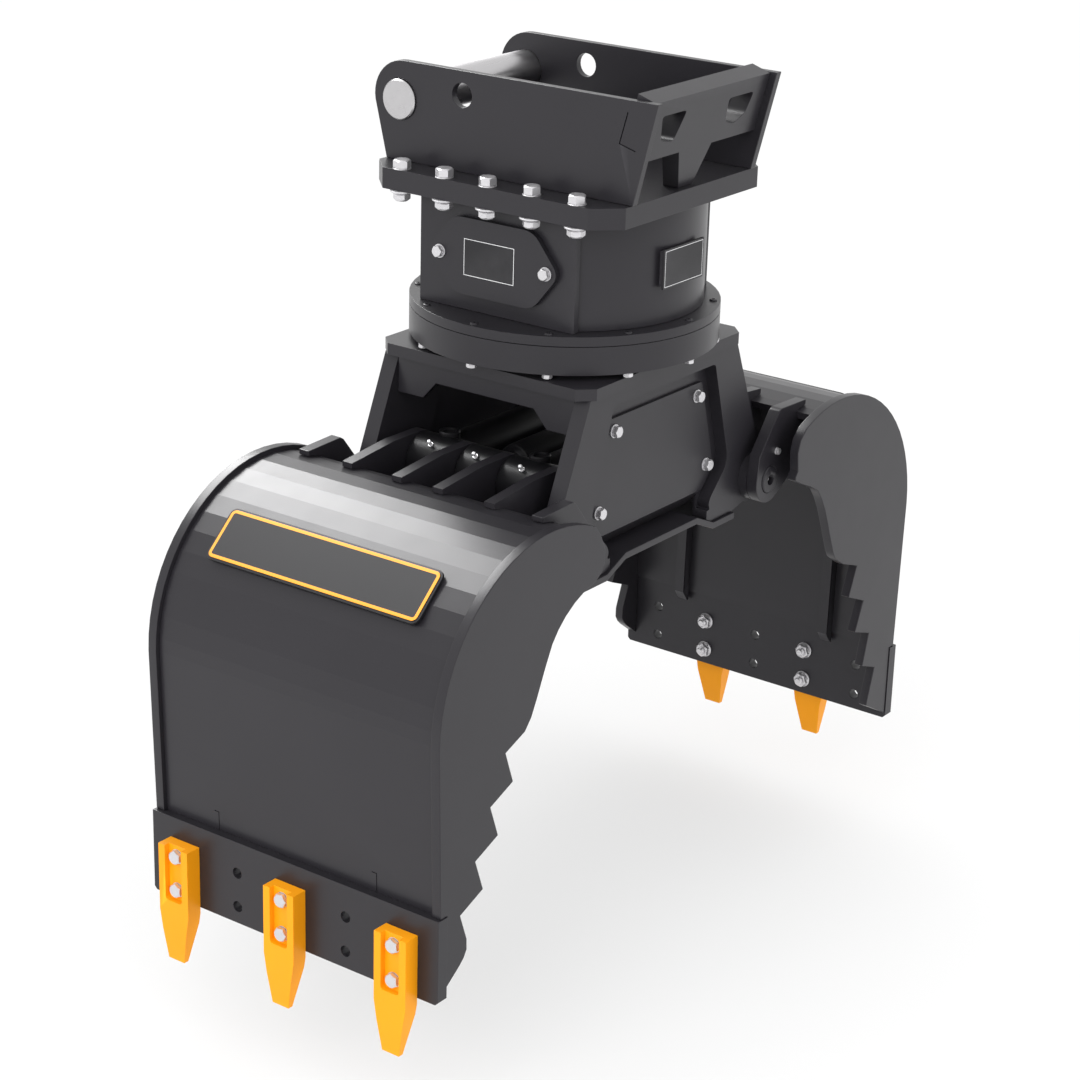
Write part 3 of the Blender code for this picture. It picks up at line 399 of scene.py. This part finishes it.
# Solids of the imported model, rounded and painted
def rounded_copy(node, edge, material):
    """Copy of a solid with its flat faces joined and its edges rounded."""
    source = frame["nodes"][node]
    make_active(source)
    bpy.ops.object.duplicate()
    obj = bpy.context.view_layer.objects.active
    body = source["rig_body"]
    obj.parent = None
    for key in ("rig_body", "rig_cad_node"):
        if key in obj:
            del obj[key]
    make_active(obj)
    if obj.data.has_custom_normals:
        bpy.ops.mesh.customdata_custom_splitnormals_clear()
    bpy.ops.object.mode_set(mode="EDIT")
    bpy.ops.mesh.select_all(action="SELECT")
    bpy.ops.mesh.remove_doubles(threshold=0.00002)
    bpy.ops.mesh.dissolve_limited(angle_limit=math.radians(0.4))
    bpy.ops.object.mode_set(mode="OBJECT")
    if edge > 0:
        apply_modifier(obj, "BEVEL", width=edge, segments=2, limit_method="ANGLE",
                       angle_limit=math.radians(SMOOTH_ANGLE), use_clamp_overlap=True)
    smooth(obj)
    file_piece(obj, "finished_" + node, body, material)
    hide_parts(node)
    return obj


def finish_solids():
    plates = ["adapter_base_plate", "left_adapter_side_plate", "right_adapter_side_plate",
              "wedge_beam", "rotator_housing", "frame_top_plate", "near_frame_side_plate",
              "far_frame_side_plate", "left_apron", "right_apron", "frame_bottom_plate"]
    covers = ["left_housing_cover", "right_housing_cover", "near_frame_cover",
              "far_frame_cover"]
    for jaw in ("left", "right"):
        plates += [f"{jaw}_cutting_plate", f"{jaw}_lever_block"]
        plates += [f"{jaw}_jaw_{where}_{kind}" for where in ("near", "far")
                   for kind in ("side_plate", "outer_lug")]
    for node in plates:
        rounded_copy(node, PAINT_EDGE, ANTHRACITE)
    for node in covers:
        rounded_copy(node, FINE_EDGE, ANTHRACITE)
    for node in ("upper_slew_ring", "lower_slew_ring"):
        rounded_copy(node, FINE_EDGE, RING_PAINT)
    for node in ("left_near_tooth", "left_middle_tooth", "left_far_tooth",
                 "right_near_tooth", "right_far_tooth"):
        rounded_copy(node, PAINT_EDGE, TOOTH_PAINT)
    for node in ("hitch_pin", "drive_pinion", "left_lever_pin", "right_lever_pin"):
        rounded_copy(node, 0.0, PIN_STEEL)
    # the barrels get the near-black paint that carries painted shade
    for where in ("near", "middle", "far"):
        rounded_copy(f"cylinder_{where}_barrel", FINE_EDGE, CYLINDER_SHADE_PAINT)
    for node in ("slew_motor", "rotary_union"):
        rounded_copy(node, FINE_EDGE, CAST_IRON)


# Fasteners, each kind modelled once, upright, with its seat at the origin
def hexagon_head(af, height, foot=0.0):
    """Hexagon with the arcs that its turned chamfer leaves on the six flats."""
    corner = af / math.sqrt(3)
    top = foot + height
    head = turned("head", [(corner, foot), (corner, top)], 6)
    rise = 0.20 * corner
    dome = [(corner, foot - 0.001), (corner + 0.001, foot - 0.001), (corner + 0.0004, top - rise),
            (af * 0.46, top), (af * 0.46, top + 0.001)]
    cut(head, turned("dome", dome, 48), "INTERSECT")
    return head


def washer(radius, bore, thickness, foot=0.0):
    edge = 0.18 * thickness
    return turned("washer", [(bore, foot), (radius - edge, foot), (radius, foot + edge),
                             (radius, foot + thickness - edge), (radius - edge, foot + thickness),
                             (bore, foot + thickness)], 40)


def bolt_end(diameter, length, foot, pitch):
    """Threaded end that stands out of a nut."""
    crest = diameter / 2
    root = crest - 0.54 * pitch
    profile = [(root, foot)]
    turns = max(1, int(length / pitch))
    for turn in range(turns):
        low = foot + turn * pitch
        profile += [(crest, low + 0.45 * pitch), (crest, low + 0.55 * pitch), (root, low + pitch)]
    profile.append((root * 0.86, foot + turns * pitch + 0.10 * diameter))
    return turned("end", profile, 28)


def screw(name, af, height, washer_r, washer_t):
    """Hexagon screw on a washer."""
    plate = washer(washer_r, af * 0.28, washer_t)
    collar = turned("collar", [(af * 0.47, washer_t), (af * 0.47, washer_t + 0.0006)], 32)
    head = hexagon_head(af, height - 0.0006, washer_t + 0.0006)
    return dressed([plate, collar, head], name, ZINC)


def flange_nut(name, af, height, collar_r, bolt_dia):
    """Nut with its own collar, and the end of the bolt standing out of it."""
    collar = turned("collar", [(collar_r - 0.0003, 0.0), (collar_r, 0.0004), (collar_r, 0.0016),
                               (collar_r - 0.0012, 0.0026), (af * 0.53, 0.0048)], 40)
    nut = hexagon_head(af, height - 0.0030, 0.0030)
    end = bolt_end(bolt_dia, 0.0040, height, 0.0020)
    return dressed([collar, nut, end], name, ZINC)


def closed_nut(name, af, height, collar_r):
    """Nut with a wide collar and a closed, rounded end."""
    collar = turned("collar", [(collar_r - 0.0004, 0.0), (collar_r, 0.0005), (collar_r, 0.0018),
                               (collar_r - 0.0020, 0.0032), (af * 0.53, 0.0052)], 40)
    nut = hexagon_head(af, height - 0.0056, 0.0036)
    top = height - 0.0021
    end = turned("end", [(af * 0.44, top), (af * 0.44, top + 0.0004), (af * 0.40, top + 0.0012),
                         (af * 0.30, top + 0.0019), (af * 0.12, top + 0.0021)], 36)
    return dressed([collar, nut, end], name, ZINC)


def nipple(name):
    """Grease nipple: hexagon foot, waist and ball."""
    foot = hexagon_head(0.0070, 0.0026)
    waist = [(0.0024, 0.0020), (0.0024, 0.0040), (0.0017, 0.0050), (0.0017, 0.0058),
             (0.0027, 0.0068), (0.0029, 0.0076), (0.0022, 0.0086), (0.0010, 0.0090)]
    return dressed([foot, turned("waist", waist, 20)], name, ZINC)


def low_screw(name):
    """Low round screw with a hexagon socket, for the top of the slew ring."""
    head = turned("round", [(0.0050, 0.0), (0.0050, 0.0006), (0.0044, 0.0016),
                            (0.0032, 0.0022)], 28)
    socket = turned("socket", [(0.0022, 0.0008), (0.0022, 0.004)], 6)
    cut(head, socket)
    return dressed([head], name, RING_PAINT)


def dressed(pieces, name, material):
    obj = join(pieces, name)
    obj.data.materials.clear()
    obj.data.materials.append(material)
    smooth(obj, 32.0)
    return obj


def put_away(*templates):
    for template in templates:
        bpy.data.objects.remove(template, do_unlink=True)


def rotator_fasteners():
    bolt = screw("flange_bolt", af=0.0192, height=0.0104, washer_r=0.0113, washer_t=0.0012)
    nut = closed_nut("flange_nut", af=0.0190, height=0.0142, collar_r=0.0145)
    for sx, row in JAWS:
        for k in range(-2, 3):
            at = (sx * FLANGE_BOLT_X, k * FLANGE_BOLT_PITCH)
            head = copy_at(bolt, f"flange_bolt_head_{row}_{k + 3}", (*at, FLANGE_TOP), "+Z",
                           "adapter", 11.0 * k + 20.0)
            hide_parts(f"flange_bolt_{row}_{k + 3}")
            copy_at(nut, f"flange_nut_{row}_{k + 3}", (*at, FLANGE_LOW), "-Z", "adapter",
                    17.0 * k)
    cover_screw = screw("cover_screw", af=0.0130, height=0.0060, washer_r=0.0086,
                        washer_t=0.0016)
    for sx, side, facing in ((-1, "left", "-X"), (1, "right", "+X")):
        for sy, where, _ in ENDS:
            copy_at(cover_screw, f"{side}_cover_screw_{where}",
                    (sx * COVER_FACE_X, sy * COVER_SCREW_Y, COVER_MID_Z), facing, "adapter",
                    12.0 * sy)
    ring_screw = low_screw("ring_screw")
    ring_bolt = screw("ring_bolt", af=0.0115, height=0.0050, washer_r=0.0066, washer_t=0.0004)
    screw_r = RING_R - RING_SCREW_IN
    bolt_r = RING_R - RING_BOLT_IN
    for k in range(RING_SCREWS):
        step = 360.0 / RING_SCREWS * k
        across, along = math.cos(math.radians(step)), math.sin(math.radians(step))
        copy_at(ring_screw, f"ring_screw_{k + 1}",
                (screw_r * across, screw_r * along, UPPER_RING_TOP), "+Z", "adapter", step)
        copy_at(ring_bolt, f"ring_bolt_{k + 1}",
                (bolt_r * across, bolt_r * along, LOWER_RING_FACE), "-Z", "frame", 13.0 * k)
    put_away(bolt, nut, cover_screw, ring_screw, ring_bolt)


def frame_fasteners():
    cover_bolt = screw("side_cover_bolt", af=0.0132, height=0.0072, washer_r=0.0086,
                       washer_t=0.0020)
    for sy, where, facing in ENDS:
        places = [(sx * x, sy * SIDE_COVER_FACE_Y, z) for sx in (-1, 1)
                  for x, z in SIDE_COVER_BOLTS]
        for number, at in enumerate(places, 1):
            copy_at(cover_bolt, f"{where}_side_cover_bolt_{number}", at, facing, "frame",
                    23.0 * number)
    put_away(cover_bolt)


def jaw_fasteners():
    head = screw("tooth_bolt", af=0.0165, height=0.0062, washer_r=0.0096, washer_t=0.0006)
    nut = flange_nut("tooth_nut", af=0.0180, height=0.0100, collar_r=0.0118, bolt_dia=0.012)
    for side, jaw, places in ((-1, "left", (-2, 0, 2)), (1, "right", (-1, 1))):
        body = jaw + "_jaw"
        out, back = ("-X", "+X") if side < 0 else ("+X", "-X")
        for k in places:
            for row, z in zip(("low", "high"), TOOTH_BOLT_Z):
                y = k * TOOTH_PITCH
                copy_at(head, f"{jaw}_tooth_bolt_{k + 3}_{row}",
                        (side * (TOOTH_OUT_X - TOOTH_SLOT), y, z), out, body, 14.0 * k + 5.0)
                copy_at(nut, f"{jaw}_tooth_nut_{k + 3}_{row}", (side * BLADE_IN_X, y, z), back,
                        body, 19.0 * k + 8.0)
    keeper = screw("keeper_screw", af=0.0080, height=0.0040, washer_r=0.0050, washer_t=0.0008)
    for side, jaw in JAWS:
        for sy, where, facing in ENDS:
            copy_at(keeper, f"{jaw}_pivot_keeper_{where}",
                    (side * KEEPER_AT[0], -sy * OUTER_LUG_FACE, KEEPER_AT[1]), facing,
                    jaw + "_jaw", 20.0)
    put_away(head, nut, keeper)


def grease_points():
    """Nipples on the eyes of the left lever pin and in the ends of the pivot pins."""
    point = nipple("nipple")
    lean = math.radians(EYE_NIPPLE_ANGLE)
    for y, where, body, seat in ((-EYE_Y, "near", "near_barrel", EYE_R),
                                 (0.0, "middle", "middle_rod", EYE_R + 0.0008),
                                 (EYE_Y, "far", "far_barrel", EYE_R)):
        copy_at(point, f"{where}_eye_nipple", (-LEVER[0] + seat * math.cos(lean), y,
                                               LEVER[1] + seat * math.sin(lean)), "eye", body)
    for side, jaw in JAWS:
        for sy, where, facing in ENDS:
            end_y = sy * (abs(OUTER_LUG_FACE) + PIN_PROUD - PIN_RECESS)
            copy_at(point, f"{jaw}_pivot_nipple_{where}", (side * PIVOT[0], end_y, PIVOT[1]),
                    facing, f"{jaw}_jaw")
    put_away(point)


# Shells, bent on a press brake in flats of eight degrees
def bent_shell(side, jaw):
    wall_x = SHELL_CENTRE[0] + SHELL_R - SHELL_T / 2
    half_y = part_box(f"{jaw}_jaw_shell")[1].y
    foot_z = BLADE_TOP + 0.0003
    deselect_all()
    bpy.ops.mesh.primitive_plane_add(size=1, location=(wall_x - WALL_LEAN, 0, foot_z))
    obj = bpy.context.view_layer.objects.active
    obj.scale = (SHELL_T, 2 * half_y, 1)
    settle(obj)
    edit(obj)
    bpy.ops.mesh.select_all(action="SELECT")
    bpy.ops.mesh.extrude_region_move(
        TRANSFORM_OT_translate={"value": (WALL_LEAN, 0, SHELL_CENTRE[1] - foot_z)})
    centre = (SHELL_CENTRE[0], 0, SHELL_CENTRE[1])
    first = 5.0
    flats = int((SHELL_START - first) / SHELL_BEND)
    for angle, steps in ((first, 1), (flats * SHELL_BEND, flats),
                         (SHELL_START - first - flats * SHELL_BEND, 1)):
        bpy.ops.mesh.spin(steps=steps, angle=math.radians(angle), center=centre, axis=(0, 1, 0))
    close_up(obj)
    if side < 0:
        make_active(obj)
        obj.scale = (-1, 1, 1)
        settle(obj)
        close_up(obj)
    for y in (-side * TAB_Y, side * TAB_Y):
        engrave_tab(obj, side, y)
    apply_modifier(obj, "BEVEL", width=0.0008, segments=2, limit_method="ANGLE",
                   angle_limit=math.radians(50))
    smooth(obj, 3.0)
    file_piece(obj, f"finished_{jaw}_jaw_shell", f"{jaw}_jaw", ANTHRACITE)
    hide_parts(f"{jaw}_jaw_shell")


def engrave_tab(obj, side, y):
    """Seam of the rib tab that comes through the shell above the cutting plate."""
    face = SHELL_CENTRE[0] + SHELL_R - WALL_LEAN
    low, high = sorted((side * (face - 0.0025), side * (face + 0.004)))
    seam = 0.0011
    cut(obj, block("seam", (low, y - seam / 2, BLADE_TOP - 0.002), (high, y + seam / 2, TAB_TOP)))
    hook_low, hook_high = sorted((y, y - side * 0.0065))
    cut(obj, block("hook", (low, hook_low - seam / 2, TAB_TOP - seam),
                   (high, hook_high + seam / 2, TAB_TOP)))


# Boards: flat plates with a raised plain line round the edge
def board(name, half_w, half_h, corner, thickness, inset, line, proud, face_material,
          line_material):
    deselect_all()
    bpy.ops.mesh.primitive_plane_add(size=2)
    obj = bpy.context.view_layer.objects.active
    obj.name = name
    obj.scale = (half_w, half_h, 1)
    settle(obj)
    edit(obj)
    bpy.ops.mesh.select_all(action="SELECT")
    if corner > 0:
        bpy.ops.mesh.bevel(offset=corner, offset_type="OFFSET", segments=8, affect="VERTICES")
    bpy.ops.mesh.select_all(action="SELECT")
    bpy.ops.mesh.extrude_region_move(TRANSFORM_OT_translate={"value": (0, 0, thickness)})
    bpy.ops.mesh.inset(thickness=inset, depth=0)
    bpy.ops.object.mode_set(mode="OBJECT")
    obj.data.materials.append(face_material)
    obj.data.materials.append(line_material)
    edit(obj)
    obj.active_material_index = 1
    bpy.ops.object.material_slot_assign()
    bpy.ops.mesh.inset(thickness=line, depth=0)
    obj.active_material_index = 0
    bpy.ops.object.material_slot_assign()
    bpy.ops.object.mode_set(mode="OBJECT")
    top_line = [face.material_index == 1 for face in obj.data.polygons]
    for face, chosen in zip(obj.data.polygons, top_line):
        face.select = chosen
    edit(obj)
    bpy.ops.mesh.extrude_region_move(TRANSFORM_OT_translate={"value": (0, 0, proud)})
    close_up(obj)
    apply_modifier(obj, "BEVEL", width=min(0.0006, 0.4 * proud + 0.0001), segments=2,
                   limit_method="ANGLE", angle_limit=math.radians(40))
    smooth(obj)
    return obj


def stand(obj, at, normal, upward):
    """Stand a flat board up: its face along normal, its height along upward."""
    normal = Vector(normal).normalized()
    across = Vector(upward).cross(normal).normalized()
    up = normal.cross(across)
    obj.matrix_world = Matrix.Translation(at) @ Matrix((across, up, normal)).transposed().to_4x4()
    settle(obj)


def boards():
    """Blank board on each jaw, blank type plate and sticker field on the rotator."""
    angle = math.radians(180 - BOARD_ANGLE)
    for side, jaw in JAWS:
        normal = Vector((side * math.cos(angle), 0, math.sin(angle)))
        up = Vector((-side * math.sin(angle), 0, math.cos(angle)))
        centre = Vector((side * SHELL_CENTRE[0], -side * 0.0040, SHELL_CENTRE[1]))
        jaw_board = board("jaw_board", 0.1613, 0.0360, corner=0.010, thickness=0.004,
                          inset=0.0030, line=0.0042, proud=0.0012, face_material=BOARD_PAINT,
                          line_material=BORDER_PAINT)
        stand(jaw_board, centre + normal * (SHELL_R + 0.0003) + up * -0.0025, normal, up)
        file_piece(jaw_board, f"{jaw}_jaw_board", f"{jaw}_jaw")
    bracket = block("bracket", (-0.0420, -0.1745, 0.8215), (0.0340, -0.1650, 0.8645))
    file_piece(bracket, "type_plate_bracket", "adapter", ANTHRACITE)
    type_plate = board("type_plate", 0.0425, 0.0245, corner=0.0, thickness=0.0030,
                       inset=0.0022, line=0.0007, proud=0.0002, face_material=BOARD_PAINT,
                       line_material=LINE_PAINT)
    stand(type_plate, (-0.0040, -0.1745, 0.8430), (0.0, -1, 0), (0, 0, 1))
    file_piece(type_plate, "type_plate", "adapter")
    sticker = board("sticker", 0.0382, 0.0232, corner=0.0, thickness=0.0002, inset=0.0004,
                    line=0.0008, proud=0.00005, face_material=BOARD_PAINT,
                    line_material=LINE_PAINT)
    stand(sticker, (-COVER_FACE_X - 0.0001, 0.0049, COVER_MID_Z - 0.0005), (-1, 0, 0), (0, 0, 1))
    file_piece(sticker, "plain_sticker", "adapter")


def pivot_pins():
    """Pivot pins, painted over, with a recess for the nipple in each end."""
    deep = 0.020
    for side, jaw in JAWS:
        pin = rounded_copy(f"{jaw}_pivot_pin", FINE_EDGE, ANTHRACITE)
        end_y = abs(OUTER_LUG_FACE) + PIN_PROUD
        for sy, _, facing in ENDS:
            hole = turned("recess", [(0.0075, -deep), (0.0075, 0.0), (0.0090, 0.0015),
                                     (0.0090, 0.004)], 28)
            mouth = (side * PIVOT[0], sy * (end_y - PIN_RECESS + deep), PIVOT[1])
            hole.matrix_world = Matrix.Translation(mouth) @ FACING[facing]
            settle(hole)
            cut(pin, hole)
        smooth(pin)


def tab_seams():
    """Seam round the tab by which the wedge beam is let into each adapter side plate."""
    for side, where in JAWS:
        plate = bpy.data.objects[f"finished_{where}_adapter_side_plate"]
        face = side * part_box("right_adapter_side_plate")[1].x
        for (y0, z0), (y1, z1) in zip(TAB_SEAM, TAB_SEAM[1:]):
            length = math.hypot(y1 - y0, z1 - z0) + 0.0016
            seam = block("seam", (-0.0020, -length / 2, -0.0008), (0.0020, length / 2, 0.0008))
            seam.rotation_euler = (math.atan2(z1 - z0, y1 - y0), 0, 0)
            seam.location = (face, (y0 + y1) / 2, (z0 + z1) / 2)
            settle(seam)
            cut(plate, seam)
        make_active(plate)
        bpy.ops.mesh.customdata_custom_splitnormals_clear()
        bpy.ops.object.shade_smooth_by_angle(angle=math.radians(FLAT_ANGLE))


def port_bosses():
    """Round hose ports on the barrels of the two outer cylinders, closed by a sunk plug."""
    x, y, z = PORT_AT
    for sy, where, _ in ENDS:
        boss = turned("boss", [(0.0135, z - 0.022), (0.0135, z - 0.0012), (0.0123, z),
                               (0.0090, z), (0.0082, z - 0.0008), (0.0080, z - 0.0035),
                               (0.0040, z - 0.0036)], 36)
        boss.location = (-x, sy * y, 0)
        settle(boss)
        smooth(boss)
        # the port gets the same near-black paint with painted shade
        file_piece(boss, f"{where}_barrel_port", f"{where}_barrel", CYLINDER_SHADE_PAINT)


def finish_eyes():
    """Cylinder rods: chromed, with their eyes in the near-black paint that carries painted shade.
    """
    for where in ("near", "middle", "far"):
        rod = rounded_copy(f"cylinder_{where}_rod", 0.0, CHROME)
        rod.data.materials.append(CYLINDER_SHADE_PAINT)
        side = 1 if where != "middle" else -1
        for face in rod.data.polygons:
            if side * face.center.x > LEVER[0] - ROD_EYE_REACH:
                face.material_index = 1


finish_solids()
pivot_pins()
finish_eyes()
tab_seams()
port_bosses()
for jaw_side, jaw_name in JAWS:
    bent_shell(jaw_side, jaw_name)
rotator_fasteners()
frame_fasteners()
jaw_fasteners()
grease_points()
boards()


# Camera, light and floor
def photo_camera():
    data = bpy.data.cameras.new("photo_camera")
    data.sensor_width = SENSOR_WIDTH
    data.sensor_fit = "HORIZONTAL"
    data.lens = FOCAL_PIXELS / IMAGE_PIXELS * SENSOR_WIDTH
    data.shift_x, data.shift_y = CAMERA_SHIFT
    data.clip_end = 60.0
    camera = bpy.data.objects.new("photo_camera", data)
    scene.collection.objects.link(camera)
    back = CAMERA_BACK.normalized()
    right = (CAMERA_RIGHT - back * CAMERA_RIGHT.dot(back)).normalized()
    up = back.cross(right)
    turn = Matrix((right, up, back)).transposed().to_4x4()
    camera.matrix_world = Matrix.Translation(CAMERA_AT) @ turn
    scene.camera = camera


def softbox(name, at, target, width, height, power, along=(0, 0, 1), seen_by="both"):
    """Rectangular light that looks at its target, with its width laid along a direction."""
    data = bpy.data.lights.new(name, "AREA")
    data.shape = "RECTANGLE"
    data.size = width
    data.size_y = height
    data.energy = power
    lamp = bpy.data.objects.new(name, data)
    scene.collection.objects.link(lamp)
    back = (Vector(at) - Vector(target)).normalized()
    across = back.cross(Vector(along).cross(back)).normalized()
    turn = Matrix((across, back.cross(across), back)).transposed().to_4x4()
    lamp.matrix_world = Matrix.Translation(at) @ turn
    lamp.visible_diffuse = seen_by != "gloss"
    lamp.visible_glossy = seen_by != "diffuse"


def seen_directly(nodes, links):
    """One for what the camera, a mirror or glass sees, zero for light that falls on the object."""
    path = nodes.new("ShaderNodeLightPath")
    total = path.outputs["Is Camera Ray"]
    for ray in ("Is Glossy Ray", "Is Transmission Ray"):
        larger = nodes.new("ShaderNodeMath")
        larger.operation = "MAXIMUM"
        links.new(total, larger.inputs[0])
        links.new(path.outputs[ray], larger.inputs[1])
        total = larger.outputs["Value"]
    return total


def studio_floor():
    deselect_all()
    bpy.ops.mesh.primitive_plane_add(size=FLOOR_SIZE, location=(0, 0, -FLOOR_DROP))
    floor = bpy.context.view_layer.objects.active
    floor.name = "studio_floor"
    material, nodes, links, shader = new_material("pale_studio_floor")
    shader.inputs["Base Color"].default_value = (0.50, 0.50, 0.50, 1.0)
    shader.inputs["Roughness"].default_value = 0.9
    shader.inputs["Specular IOR Level"].default_value = 0.0
    glow = nodes.new("ShaderNodeEmission")
    glow.inputs["Strength"].default_value = FLOOR_GLOW
    both = nodes.new("ShaderNodeAddShader")
    links.new(shader.outputs["BSDF"], both.inputs[0])
    links.new(glow.outputs["Emission"], both.inputs[1])
    choose = nodes.new("ShaderNodeMixShader")
    links.new(seen_directly(nodes, links), choose.inputs["Fac"])
    links.new(shader.outputs["BSDF"], choose.inputs[1])
    links.new(both.outputs["Shader"], choose.inputs[2])
    links.new(choose.outputs["Shader"], nodes["Material Output"].inputs["Surface"])
    floor.data.materials.append(material)


def studio_world():
    world = bpy.data.worlds.new("studio_world")
    world.use_nodes = True
    scene.world = world
    nodes, links = world.node_tree.nodes, world.node_tree.links
    light = nodes["Background"]
    light.inputs["Color"].default_value = (1.0, 1.0, 1.0, 1.0)
    light.inputs["Strength"].default_value = 1.30
    white = nodes.new("ShaderNodeBackground")
    white.inputs["Color"].default_value = (1.0, 1.0, 1.0, 1.0)
    white.inputs["Strength"].default_value = 1.0
    choose = nodes.new("ShaderNodeMixShader")
    links.new(seen_directly(nodes, links), choose.inputs["Fac"])
    links.new(light.outputs["Background"], choose.inputs[1])
    links.new(white.outputs["Background"], choose.inputs[2])
    links.new(choose.outputs["Shader"], nodes["World Output"].inputs["Surface"])


photo_camera()
studio_floor()
studio_world()
softbox("highlight_panel", (0.52, 2.71, 3.44), (-0.37, 0.05, 0.58), 3.6, 1.35, 260.0,
        along=(0.888, 0.03, -0.458), seen_by="gloss")
softbox("left_softbox", (-3.6, -0.6, 2.0), (0.0, 0.0, 0.5), 2.4, 2.4, 60.0, seen_by="diffuse")
softbox("near_softbox", (0.8, -3.6, 1.8), (0.0, 0.0, 0.5), 2.4, 2.4, 25.0, seen_by="diffuse")
scene.view_settings.view_transform = "Standard"
